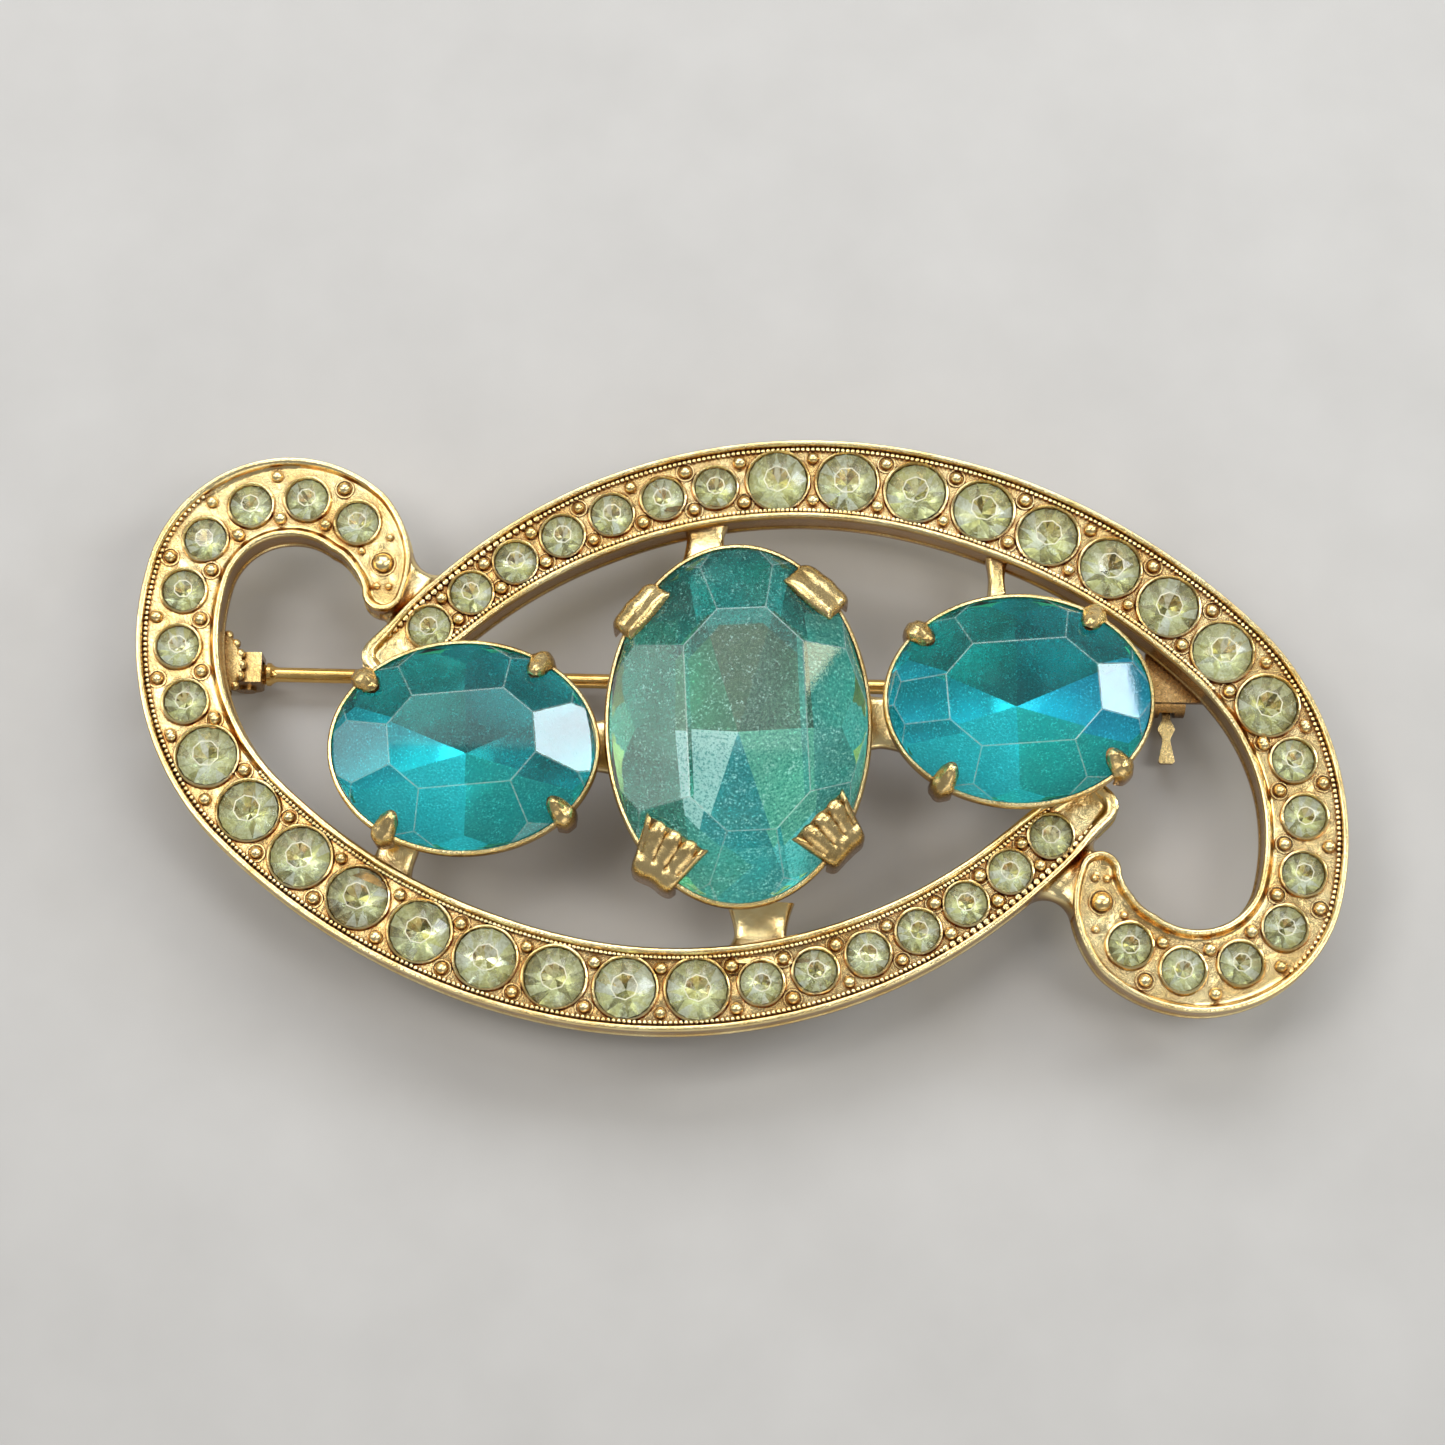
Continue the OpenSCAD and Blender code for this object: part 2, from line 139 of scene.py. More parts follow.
class Shape:
    """Vertices in millimetres and faces, gathered into one mesh."""

    def __init__(self):
        self.verts = []
        self.faces = []

    def add(self, verts, faces, place=UPRIGHT):
        base = len(self.verts)
        self.verts += [place @ Vector(v) for v in verts]
        self.faces += [[base + i for i in f] for f in faces]

    def moved(self, place):
        copy = Shape()
        copy.add(self.verts, self.faces, place)
        return copy

    def loft(self, rings, place=UPRIGHT, caps=True, hoop=False):
        """Skin over closed rings of equally many points; a hoop joins the last ring to the first."""
        n, m = len(rings[0]), len(rings)
        faces = [
            [k * n + i, k * n + (i + 1) % n, (k + 1) % m * n + (i + 1) % n, (k + 1) % m * n + i]
            for k in range(m if hoop else m - 1) for i in range(n)
        ]
        if caps and not hoop:
            faces += [list(range(n))[::-1], list(range(m * n - n, m * n))]
        self.add([p for ring in rings for p in ring], faces, place)

    def oval_hoop(self, a, b, z, section, place):
        """Hoop whose section, as (outward, up), runs round an ellipse."""
        self.loft(list(zip(*(oval(a, b, OVAL_STEPS, u, z + h) for u, h in section))), place, hoop=True)

    def lathe(self, profile, n, place=UPRIGHT):
        """Solid of revolution about Z; profile is (radius, height) from its base to its top."""
        self.loft([circle(max(r, 1e-4), n, z) for r, z in profile], place)

    def mesh(self, name):
        """Mesh in metres, welded and with its faces turned outward."""
        mesh = bpy.data.meshes.new(name)
        mesh.from_pydata([v * MM for v in self.verts], [], self.faces)
        bm = bmesh.new()
        bm.from_mesh(mesh)
        bmesh.ops.remove_doubles(bm, verts=bm.verts, dist=WELD)
        bmesh.ops.recalc_face_normals(bm, faces=bm.faces)
        bm.to_mesh(mesh)
        bm.free()
        return mesh


def linked(name, data):
    made = bpy.data.objects.new(name, data)
    bpy.context.scene.collection.objects.link(made)
    return made


def make(name, shape, looks, stands_for=None, body="frame", sharp=SHARP_ANGLE, smooth=True):
    """Turns a shape or a mesh into a piece that rides on a body, with one look or a list of them.
    """
    mesh = shape.mesh(name) if isinstance(shape, Shape) else shape
    for polygon in mesh.polygons:
        polygon.use_smooth = smooth
    if smooth:
        mesh.set_sharp_from_angle(angle=radians(sharp))
    piece = linked(name, mesh)
    looks = looks if isinstance(looks, list) else [looks]
    for look in looks:
        mesh.materials.append(look)
    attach(piece, body)
    if stands_for:
        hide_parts(stands_for)
    return piece


def box_mm(cad_node):
    low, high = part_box(cad_node)
    return low / MM, high / MM


# ---------------------------------------------------------------- materials
GLASS_IOR = 1.56
GLASS_ROUGHNESS = 0.02
AO_REACH = 0.6 * MM


def node(tree, kind, inputs=(), **settings):
    """Adds a shader node, with its inputs set to values or linked to other nodes' outputs."""
    made = tree.nodes.new(kind)
    for key, value in settings.items():
        setattr(made, key, value)
    for key, value in dict(inputs).items():
        socket = made.inputs[key]
        if isinstance(value, bpy.types.NodeSocket):
            tree.links.new(value, socket)
        else:
            socket.default_value = (*value, 1) if socket.type == "RGBA" else value
    return made


def material(name, shader_of, *settings):
    """Material with the shader that shader_of(tree, *settings) returns."""
    made = bpy.data.materials.new(name)
    made.use_nodes = True
    tree = made.node_tree
    tree.nodes.clear()
    node(tree, "ShaderNodeOutputMaterial", {"Surface": shader_of(tree, *settings)})
    return made


def object_coordinates(tree):
    return node(tree, "ShaderNodeTexCoord").outputs["Object"]


def noise_factor(tree, per_mm, detail=3, rough=0.55, where=None):
    """Noise with features about 1 / per_mm millimetres across."""
    where = object_coordinates(tree) if where is None else where
    inputs = {"Vector": where, "Scale": per_mm / MM, "Detail": detail, "Roughness": rough}
    return node(tree, "ShaderNodeTexNoise", inputs).outputs["Fac"]


def ramp(tree, factor, low, low_colour, high, high_colour):
    """Colour that goes from one to the other as the factor goes from low to high."""
    made = node(tree, "ShaderNodeValToRGB", {"Fac": factor})
    for element, position, colour in zip(made.color_ramp.elements, (low, high), (low_colour, high_colour)):
        element.position = position
        element.color = (*colour, 1)
    return made.outputs["Color"]


def mapped(tree, factor, low, high, to_low=0.0, to_high=1.0):
    inputs = {"Value": factor, "From Min": low, "From Max": high, "To Min": to_low, "To Max": to_high}
    return node(tree, "ShaderNodeMapRange", inputs).outputs["Result"]


def mixed(tree, factor, a, b, blend="MIX"):
    return node(tree, "ShaderNodeMix", {0: factor, 6: a, 7: b}, data_type="RGBA", blend_type=blend).outputs[2]


def maths(tree, operation, *values):
    return node(tree, "ShaderNodeMath", enumerate(values), operation=operation).outputs[0]


def bumped(tree, height, strength, distance_mm):
    inputs = {"Height": height, "Strength": strength, "Distance": distance_mm * MM}
    return node(tree, "ShaderNodeBump", inputs).outputs["Normal"]


def principled(tree, **sockets):
    """Principled shader; a socket's name is written with _ for each space."""
    inputs = {key.replace("_", " "): value for key, value in sockets.items()}
    return node(tree, "ShaderNodeBsdfPrincipled", inputs).outputs[0]


def shared(tree, share, first, second):
    return node(tree, "ShaderNodeMixShader", {0: share, 1: first, 2: second}).outputs[0]


def plated_metal(tree, bright, deep, patina_and_shade, roughness, cast_mm, cast_depth):
    """Plate whose tone drifts slowly over a lightly cast skin. Hollows turn darker, partly as patina and
    partly as painted shade, and steep walls turn darker as painted shade.
    """
    tone = ramp(tree, noise_factor(tree, 0.45, 4), 0.35, deep, 0.6, bright)
    fine = noise_factor(tree, 1 / cast_mm, 4, 0.65)
    openness = node(tree, "ShaderNodeAmbientOcclusion", {"Distance": AO_REACH}, samples=8).outputs["AO"]
    normal = node(tree, "ShaderNodeNewGeometry").outputs["Normal"]
    flatness = maths(tree, "ABSOLUTE", node(tree, "ShaderNodeSeparateXYZ", {"Vector": normal}).outputs["Z"])
    # Darker colour in hollows: partly patina, partly painted shade
    hollow_patina_and_shade = mapped(tree, openness, 0.4, 0.95, 1.0, 0.0)
    # Darker colour on steep walls: painted shade, as if light fell only from above
    wall = mapped(tree, flatness, 0.1, 0.5, 0.85, 0.0)
    return principled(
        tree,
        Base_Color=mixed(tree, maths(tree, "MAXIMUM", hollow_patina_and_shade, wall), tone, patina_and_shade),
        Metallic=1.0,
        Roughness=mapped(tree, fine, 0.3, 0.75, roughness * 0.6, roughness * 1.5),
        Normal=bumped(tree, fine, 0.6, cast_depth),
    )


def clear_glass(tree, tint, dust):
    """Coloured glass with fine scratches and a few specks of dust."""
    scratches = noise_factor(tree, 3, 5, 0.7)
    glass = principled(
        tree,
        Base_Color=tint,
        Roughness=mapped(tree, scratches, 0.35, 0.8, GLASS_ROUGHNESS * 0.3, GLASS_ROUGHNESS * 2),
        IOR=GLASS_IOR,
        Transmission_Weight=1.0,
        Normal=bumped(tree, scratches, 0.15, 0.002),
    )
    film = node(tree, "ShaderNodeBsdfDiffuse", {"Color": dust, "Roughness": 0.6}).outputs[0]
    specks = mapped(tree, noise_factor(tree, 7, 3, 0.7), 0.68, 0.8, 0.0, 0.3)
    clouds = mapped(tree, noise_factor(tree, 0.5, 3), 0.4, 0.8, 0.0, 0.04)
    return shared(tree, maths(tree, "MAXIMUM", specks, clouds), glass, film)


def facet_foil(tree, speck_mm, dark, dark_share, bright, rough):
    """Foiled underside of a stone: fine specks turn white as painted glints, and the tone attribute colours
    each facet, with painted reflections and shade on the big stones.

    The attribute's alpha is how far the facet is a mirror.
    """
    facet = node(tree, "ShaderNodeAttribute", attribute_name="tone")
    tone, mirror = facet.outputs["Color"], facet.outputs["Alpha"]
    specks = noise_factor(tree, 1 / speck_mm, 2, 0.8)
    low = mixed(tree, dark_share, tone, mixed(tree, 1.0, tone, dark, "MULTIPLY"))
    base = mixed(tree, mapped(tree, specks, 0.38, 0.52), low, tone)
    # Painted glints: where these patches meet the brightest specks, the foil turns white and less of a mirror
    patches = mapped(tree, noise_factor(tree, 1.3, 4, 0.65), 0.42, 0.62)
    painted_glints = maths(tree, "MULTIPLY", patches, mapped(tree, specks, 0.54, 0.62))
    return principled(
        tree,
        Base_Color=mixed(tree, painted_glints, base, mixed(tree, bright, tone, (1.0, 1.0, 1.0))),
        Metallic=maths(tree, "MULTIPLY", mirror, mapped(tree, painted_glints, 0.0, 1.0, 1.0, 0.25)),
        Roughness=mapped(tree, specks, 0.3, 0.7, rough, rough * 1.8),
        Normal=bumped(tree, specks, 0.3, 0.006),
    )


def wear_and_sheen_glass(tree, colour, least, most):
    """Glass under a pale film that scatters light, partly wear and partly painted highlight and sheen, with
    the least and most share of its surface that the film covers.
    """
    glass = principled(
        tree, Base_Color=(0.8, 0.95, 0.92), Roughness=0.2, IOR=GLASS_IOR, Transmission_Weight=1.0
    )
    film = principled(tree, Base_Color=colour, Roughness=0.35)
    return shared(tree, mapped(tree, noise_factor(tree, 4, 4, 0.7), 0.3, 0.7, least, most), glass, film)


def lacquered_foil(tree, colour, dark):
    """Lacquered back of the foil, crinkled and blotched."""
    crinkle = noise_factor(tree, 2.2, 5, 0.6)
    return principled(
        tree,
        Base_Color=ramp(tree, noise_factor(tree, 0.6, 4), 0.4, dark, 0.62, colour),
        Metallic=0.85,
        Roughness=mapped(tree, crinkle, 0.3, 0.7, 0.3, 0.55),
        Normal=bumped(tree, crinkle, 0.6, 0.05),
    )


def drawn_wire(tree, bright, deep):
    """Drawn wire, with streaks along it from the die."""
    inputs = {"Vector": object_coordinates(tree), "Scale": (0.12, 1, 1)}
    streaks = noise_factor(tree, 9, 3, 0.5, node(tree, "ShaderNodeMapping", inputs).outputs[0])
    return principled(
        tree,
        Base_Color=ramp(tree, noise_factor(tree, 0.3, 3), 0.35, deep, 0.65, bright),
        Metallic=1.0,
        Roughness=mapped(tree, streaks, 0.3, 0.7, 0.14, 0.3),
        Normal=bumped(tree, streaks, 0.3, 0.006),
    )


def pale_floor(tree):
    grain = noise_factor(tree, 0.12, 4)
    return principled(
        tree,
        Base_Color=ramp(tree, grain, 0.3, (0.5, 0.49, 0.475), 0.7, (0.54, 0.53, 0.515)),
        Roughness=0.75,
        Normal=bumped(tree, grain, 0.1, 0.05),
    )


# Tone, deeper tone, colour of the patina and painted shade in hollows and on steep walls, roughness, and the
# cast skin's grain and depth
gold = material(
    "gold_plate", plated_metal, (1.0, 0.84, 0.45), (0.84, 0.61, 0.25), (0.34, 0.15, 0.035), 0.17, 0.16, 0.034
)
# Darker, aged plate: an aged tone on the claws, and on the hinge and catch pieces partly painted shade
antique_and_shade_gold = material(
    "antique_gold", plated_metal, (0.88, 0.66, 0.3), (0.58, 0.4, 0.15), (0.26, 0.12, 0.03), 0.24, 0.22, 0.04
)
# Darker copy of the plate for the catch base: painted shade under the band
shaded_plate = material(
    "painted_shade_plate", plated_metal, (0.62, 0.4, 0.17), (0.4, 0.22, 0.07), (0.16, 0.07, 0.02), 0.26, 0.22, 0.04
)
wire = material("pin_wire", drawn_wire, (0.85, 0.57, 0.2), (0.72, 0.43, 0.12))
centre_glass = material("centre_glass", clear_glass, (0.6, 0.93, 0.9), (0.62, 0.68, 0.62))
side_glass = material("side_glass", clear_glass, (0.08, 0.8, 0.88), (0.3, 0.5, 0.5))
paste_glass = material("paste_glass", clear_glass, (1.0, 0.98, 0.8), (0.7, 0.7, 0.56))
# Pale films: on the stones' ridges and the pastes' table edges partly wear and partly painted highlight
# lines, on the pastes' crowns partly wear and partly painted sheen
ridge_wear_and_highlight = material("ridge_wear_and_highlight", wear_and_sheen_glass, (0.5, 0.62, 0.58), 0.12, 0.48)
paste_edge_highlight = material("paste_edge_highlight", wear_and_sheen_glass, (1.0, 0.97, 0.78), 0.4, 0.85)
paste_crown_sheen = material("paste_crown_sheen", wear_and_sheen_glass, (1.0, 0.94, 0.55), 0.03, 0.22)
centre_foiled = material("centre_foiled", facet_foil, 0.15, (0.05, 0.4, 0.4), 0.8, 0.85, 0.16)
side_foiled = material("side_foiled", facet_foil, 0.12, (0.05, 0.5, 0.55), 0.55, 0.35, 0.16)
paste_foiled = material("paste_foiled", facet_foil, 0.2, (0.45, 0.42, 0.2), 0.5, 0.6, 0.12)
foil_back = material("foil_back", lacquered_foil, (0.62, 0.55, 0.42), (0.35, 0.29, 0.2))


# ---------------------------------------------------------------- scroll arms
def arm_at(s):
    """Place and heading on the arm's centreline, s millimetres from its start."""
    x, y, heading = ARM_START
    for i, (radius, turn) in enumerate(ARM_ARCS):
        step = min(s, radius * radians(turn)) if i < len(ARM_ARCS) - 1 else s
        after = heading + degrees(step / radius)
        x += radius * (sin(radians(after)) - sin(radians(heading)))
        y -= radius * (cos(radians(after)) - cos(radians(heading)))
        heading = after
        s -= step
        if s <= 0:
            break
    return x, y, radians(heading)


def beside(s, offset):
    """A point offset to the outer side of the arm, or to its inner side if negative."""
    x, y, heading = arm_at(s)
    return x + offset * sin(heading), y - offset * cos(heading)


def half_width(s):
    for (s0, w0), (s1, w1) in zip(ARM_HALF_WIDTHS, ARM_HALF_WIDTHS[1:]):
        if s <= s1:
            return w0 + (w1 - w0) * max(0, s - s0) / (s1 - s0)
    return ARM_HALF_WIDTHS[-1][1]


ARM_LENGTH = sum(r * radians(turn) for r, turn in ARM_ARCS)
ARM_BACK, ARM_TOP = (corner.z for corner in box_mm("left_scroll"))
ARM_FLOOR = ARM_TOP - RIM_HEIGHT
ARM_STEPS = 420
CAP_STEPS = 18
FLOOR_ROWS = 14
HAMMERING = 0.018
FLOOR_LUMPS = 0.07
LIP_LENGTH = 2.2
# Place along the arm, half length and steepness of the wider trough at the curl's top
CURL_TROUGH = (11, 7, 1.3)

# Edge of the arm from its back to its floor, by level: inset and height on the outer side and on the inner
ARM_EDGE = {
    ARM_BACK: [
        (0.55, 0.16, 0.55, 0.16), (0.42, 0.03, 0.42, 0.03), (0.35, 0, 0.35, 0), (0.1, 0, 0.1, 0),
        (0, 0.1, 0, 0.1), (0, 0.34, 0, 0.34), (0.07, 0.42, 0.07, 0.42),
    ],
    ARM_TOP: [
        (0.06, -0.5, 0.08, -0.55), (0.03, -0.24, 0.04, -0.3), (0.05, -0.1, 0.06, -0.12),
        (0.11, -0.02, 0.13, -0.03), (0.2, 0, 0.22, 0), (0.29, -0.03, 0.32, -0.02), (0.35, -0.12, 0.39, -0.1),
    ],
    ARM_FLOOR: [(0.38, 0.08, 0.45, 0.14), (0.43, 0.01, 0.55, 0.03), (0.5, 0, 0.64, 0)],
}


def tail_lip(s, inset):
    """Inset of a profile, whose lip swells at the tail's end."""
    return inset * (1 + 0.75 * min(1.0, max(0.0, (s - ARM_LENGTH + LIP_LENGTH) / LIP_LENGTH)))


def wide_trough(s, inset):
    """Inset of the outer profile, whose trough is wider at the curl's top."""
    middle, reach, steep = CURL_TROUGH
    return tail_lip(s, inset) + max(0.0, inset - 0.3) * steep * max(0.0, 1 - abs(s - middle) / reach)


def arm_cap(s, first, last, start):
    """Half circle round an end of the arm, from one side's profile to the other's."""
    x, y, heading = arm_at(s)
    points = []
    for i in range(1, CAP_STEPS):
        share = i / CAP_STEPS
        inset, height = (a + (b - a) * share for a, b in zip(first, last))
        blunt = 1 + 0.16 * sin(2 * pi * share) ** 2 if s else 1
        dx, dy = polar((half_width(s) - tail_lip(s, inset)) * blunt, heading + start + pi * share)
        points.append((x + dx, y + dy, height))
    return points


def arm_loop(outer, inner):
    """One loop round the arm's edge: outer side, tail end, inner side, tip."""
    def hammered(s, offset, height, seed):
        x, y = beside(s, offset)
        lump = HAMMERING * wobble(x, y, height, 0.9, seed) if height > ARM_BACK + 0.5 else 0
        return x, y, height + lump

    stations = [ARM_LENGTH * i / ARM_STEPS for i in range(ARM_STEPS + 1)]
    return (
        [hammered(s, half_width(s) - wide_trough(s, outer[0]), outer[1], 0) for s in stations]
        + arm_cap(ARM_LENGTH, outer, inner, -pi / 2)
        + [hammered(s, tail_lip(s, inner[0]) - half_width(s), inner[1], 5) for s in stations[::-1]]
        + arm_cap(0, inner, outer, pi / 2)
    )


def arm_shape():
    """Sides and rims lofted round the arm's edge, and rows of faces across its back and its floor."""
    shape = Shape()
    loops = [
        arm_loop((a, level + b), (c, level + d)) for level, rows in ARM_EDGE.items() for a, b, c, d in rows
    ]
    shape.loft(loops, caps=False)
    side = ARM_STEPS + 1
    for level in (0, len(loops) - 1):
        loop, base = loops[level], level * len(loops[0])
        rows = []
        for i in range(side):
            first, last = i, 2 * side + CAP_STEPS - 2 - i
            row = [base + first]
            for k in range(1, FLOOR_ROWS):
                p = Vector(loop[first]).lerp(Vector(loop[last]), k / FLOOR_ROWS)
                edge = min(k, FLOOR_ROWS - k) / FLOOR_ROWS
                p.z += wobble(p.x, p.y, p.z, 0.5, 3) * FLOOR_LUMPS * min(1, 4 * edge) if level else 0
                row.append(len(shape.verts))
                shape.verts.append(p)
            rows.append(row + [base + last])
        for one, two in zip(rows, rows[1:]):
            shape.faces += [[one[k], one[k + 1], two[k + 1], two[k]] for k in range(FLOOR_ROWS)]
        tail, tip = base + side, base + 2 * side + CAP_STEPS - 1
        shape.faces.append(rows[-1][::-1] + list(range(tail, tail + CAP_STEPS - 1)))
        shape.faces.append(rows[0] + list(range(tip, tip + CAP_STEPS - 1)))
    return shape


def pastes_of(run):
    """(place along the arm, x, y, diameter) of each paste stone in a run."""
    first, pitch, count, d = run
    return [(first + i * pitch, *beside(first + i * pitch, 0), d) for i in range(count)]


ALL_PASTES = [paste for run in PASTE_RUNS.values() for paste in pastes_of(run)]


def cut_seats(piece, place):
    """Drills the paste stones' seats through the arm's floor."""
    cutter = Shape()
    for _, x, y, d in ALL_PASTES:
        r = d / 2 + 0.01
        steps = ((r * 0.5, ARM_FLOOR - SEAT_DEPTH), (r, ARM_FLOOR - 0.12), (r, ARM_TOP + 1))
        cutter.loft([circle(size, 40, z) for size, z in steps], place @ shift(x, y, 0))
    tool = linked("seats", cutter.mesh("seats"))
    cut = piece.modifiers.new("seats", "BOOLEAN")
    cut.operation = "DIFFERENCE"
    cut.solver = "EXACT"
    cut.object = tool
    graph = bpy.context.evaluated_depsgraph_get()
    made = bpy.data.meshes.new_from_object(piece.evaluated_get(graph))
    piece.modifiers.clear()
    piece.data = made
    made.set_sharp_from_angle(angle=radians(SHARP_ANGLE))
    bpy.data.objects.remove(tool)


def paste_collars():
    """Thin raised wall round each paste stone."""
    shape = Shape()
    for s, x, y, d in ALL_PASTES:
        rings = []
        for i in range(44):
            angle = tau * i / 44
            ux, uy = polar(1, angle)
            lift = 0.06 * wobble(ux * 1.2, uy * 1.2, s, 0.8, 1)
            thick = 0.19 + 0.06 * wobble(ux, uy, s, 0.7, 9)
            section = [
                (0.0, -0.12), (0.0, 0.15 + lift), (thick * 0.3, 0.24 + lift), (thick * 0.7, 0.2 + lift),
                (thick, 0.06), (thick + 0.05, -0.1),
            ]
            rings.append([(*polar(d / 2 + 0.005 + u, angle), ARM_FLOOR + h) for u, h in section])
        shape.loft(rings, shift(x, y, 0), hoop=True)
    return shape


def bead(shape, x, y, r, height, ring, n=14):
    """Domed grain of metal on the arm's floor, with a shallow ring round it or without."""
    place = shift(x, y, ARM_FLOOR)
    dome = [(r * 1.05, -0.1), (r, height * 0.25)]
    dome += [(r * cos(a), height * (0.25 + 0.75 * sin(a))) for a in (0.45, 0.85, 1.2, 1.45)]
    shape.lathe(dome, n, place)
    if ring:
        tube = [(r + 0.12 + 0.06 * cos(t), 0.02 + 0.07 * sin(t)) for t in (tau * k / 6 for k in range(6))]
        shape.loft([[(*polar(u, tau * i / 20), z) for u, z in tube] for i in range(20)], place, hoop=True)


def arm_beads():
    """Grains between the paste stones, two to a gap, and those at the curl's tip."""
    shape = Shape()
    for first, pitch, count, _ in PASTE_RUNS.values():
        for i in range(-1, count):
            s = first + (i + 0.5) * pitch
            if s < 2.7 or s > ARM_LENGTH - 1:
                continue
            spread = half_width(s) - 0.98
            for offset in (spread, -spread * 0.92):
                r, along, ring = (wobble(s, offset, z, 1.3, 4) for z in (0, 5, 9))
                bead(shape, *beside(s + 0.12 * along, offset), 0.32 + 0.06 * r, 0.42, ring > -0.1)
    bead(shape, *beside(1.5, 0.05), 0.5, 0.5, True, 20)
    for s, offset in ((0.3, 0.25), (0.3, -0.35), (2.55, 0.85), (2.6, -0.75)):
        bead(shape, *beside(s, offset), 0.2, 0.28, False)
    return shape


def milgrain():
    """Rows of tiny grains along the inside of both rims, coarser on the tail's outer side."""
    shape = Shape()
    for sign, start, inset in ((1, 11.5, 0.5), (-1, 27.0, 0.53)):
        s = start
        while s < ARM_LENGTH - 0.2:
            x, y = beside(s, sign * (half_width(s) - inset))
            size = 1.6 if sign > 0 and s > 65 else 1
            dome = [(r * size, z) for r, z in ((0.12, -0.1), (0.125, 0.06), (0.09, 0.15), (0.0, 0.19))]
            shape.lathe(dome, 8, shift(x, y, ARM_FLOOR + 0.06 + 0.02 * wobble(s, sign, 0, 1, 2)))
            s += 0.24 * size
    return shape


def build_arms():
    scroll, collars, beads, grains = arm_shape(), paste_collars(), arm_beads(), milgrain()
    for side, place in SIDES:
        piece = make(f"{side}_arm_scroll", scroll.moved(place), gold, f"{side}_scroll")
        cut_seats(piece, place)
        for name, shape in (("collars", collars), ("beads", beads), ("milgrain", grains)):
            make(f"{side}_arm_{name}", shape.moved(place), gold)


# ---------------------------------------------------------------- stones
FOILED_BELOW = -0.25
TABLE_ABOVE = 0.985
TABLE_MARGIN = 0.22
LOWER_STEEPNESS = 1.75
RIDGE_WIDTH = 0.035
SHORT_EDGE = 0.012

# Tones of facets are (red, green, blue, share that is a mirror)
PASTE_TONES = [
    (1.0, 1.0, 0.78, 0.85), (1.0, 0.97, 0.5, 0.45), (1.0, 1.0, 1.0, 0.2), (0.34, 0.32, 0.14, 0.9),
    (1.0, 1.0, 0.92, 0.95), (0.6, 0.56, 0.26, 0.8), (1.0, 0.98, 0.68, 0.3), (0.95, 0.94, 0.6, 0.7),
]


def paint_facets(mesh, tone_of):
    """Stores each facet's tone, by its outward direction and its middle, for the foiled material. On the big
    stones these tones are painted reflections and painted shade.
    """
    layer = mesh.color_attributes.new("tone", "FLOAT_COLOR", "CORNER")
    for polygon in mesh.polygons:
        tone = tone_of(polygon.normal, polygon.center / MM)
        for loop in polygon.loop_indices:
            layer.data[loop].color = tone


def brilliant(shape, d, place):
    """Round paste: table, stars, kites and girdle facets over a faceted point."""
    def ring(radius, n, first, z):
        return [(*polar(radius, tau / n * (k + first)), z) for k in range(n)]

    r = d / 2
    band, crown, depth = 0.07, d * 0.17, d * 0.36
    table_r, mid_r, low_r = r * 0.47, r * 0.76, r * 0.3
    flat_share = cos(tau / 16)
    slope = (mid_r * flat_share - table_r) / (r - table_r)
    top = band + crown
    verts = ring(table_r, 8, 0, top) + ring(mid_r, 8, 0.5, top - crown * slope)
    verts += ring(r, 16, 0, band) + ring(r, 16, 0, 0)
    verts += ring(low_r, 8, 0.5, -depth * (1 - low_r * flat_share / r))
    verts += ring(table_r - 0.06, 8, 0, top) + [(0, 0, -depth)]
    rim, mid, upper, lower, pavilion, table, culet = 0, 8, 16, 32, 48, 56, 64
    faces = [list(range(table, table + 8))]
    for k in range(8):
        n, b = (k + 1) % 8, (k - 1) % 8
        faces += [
            [rim + k, rim + n, table + n, table + k],
            [rim + k, mid + k, rim + n],
            [rim + k, mid + b, upper + 2 * k, mid + k],
            [mid + k, upper + 2 * k, upper + 2 * k + 1],
            [mid + k, upper + 2 * k + 1, upper + 2 * n],
            [culet, pavilion + k, lower + 2 * k, pavilion + b],
            [pavilion + k, lower + 2 * k + 1, lower + 2 * k],
            [pavilion + k, lower + 2 * n, lower + 2 * k + 1],
        ]
    for k in range(16):
        n = (k + 1) % 16
        faces.append([upper + k, lower + k, lower + n, upper + n])
    shape.add(verts, faces, place)


def sort_facets(mesh):
    """Tables take the first look, faces that look down the second, tables' edges and crowns the others, whose
    pale films are partly painted highlight and sheen.
    """
    for polygon in mesh.polygons:
        if polygon.normal.z > TABLE_ABOVE:
            polygon.material_index = 2 if len(polygon.vertices) == 4 else 0
        else:
            polygon.material_index = 1 if polygon.normal.z < FOILED_BELOW else 3


def build_pastes():
    rng = random.Random(11)
    for side, half in SIDES:
        for group, run in PASTE_RUNS.items():
            shape = Shape()
            for _, x, y, d in pastes_of(run):
                tilt = turned(rng.uniform(-4, 4), "X") @ turned(rng.uniform(-4, 4), "Y")
                spin = Matrix.Rotation(rng.uniform(0, tau), 4, "Z")
                brilliant(shape, d - 0.03, half @ shift(x, y, ARM_FLOOR - 0.02) @ tilt @ spin)
            name = f"{side}_{group}_pastes"
            looks = [paste_glass, paste_foiled, paste_edge_highlight, paste_crown_sheen]
            piece = make(f"{name}_cut", shape, looks, name, smooth=False)
            sort_facets(piece.data)
            tones = random.Random(len(name) * 7 + len(group))
            paint_facets(piece.data, lambda normal, middle: tones.choice(PASTE_TONES))


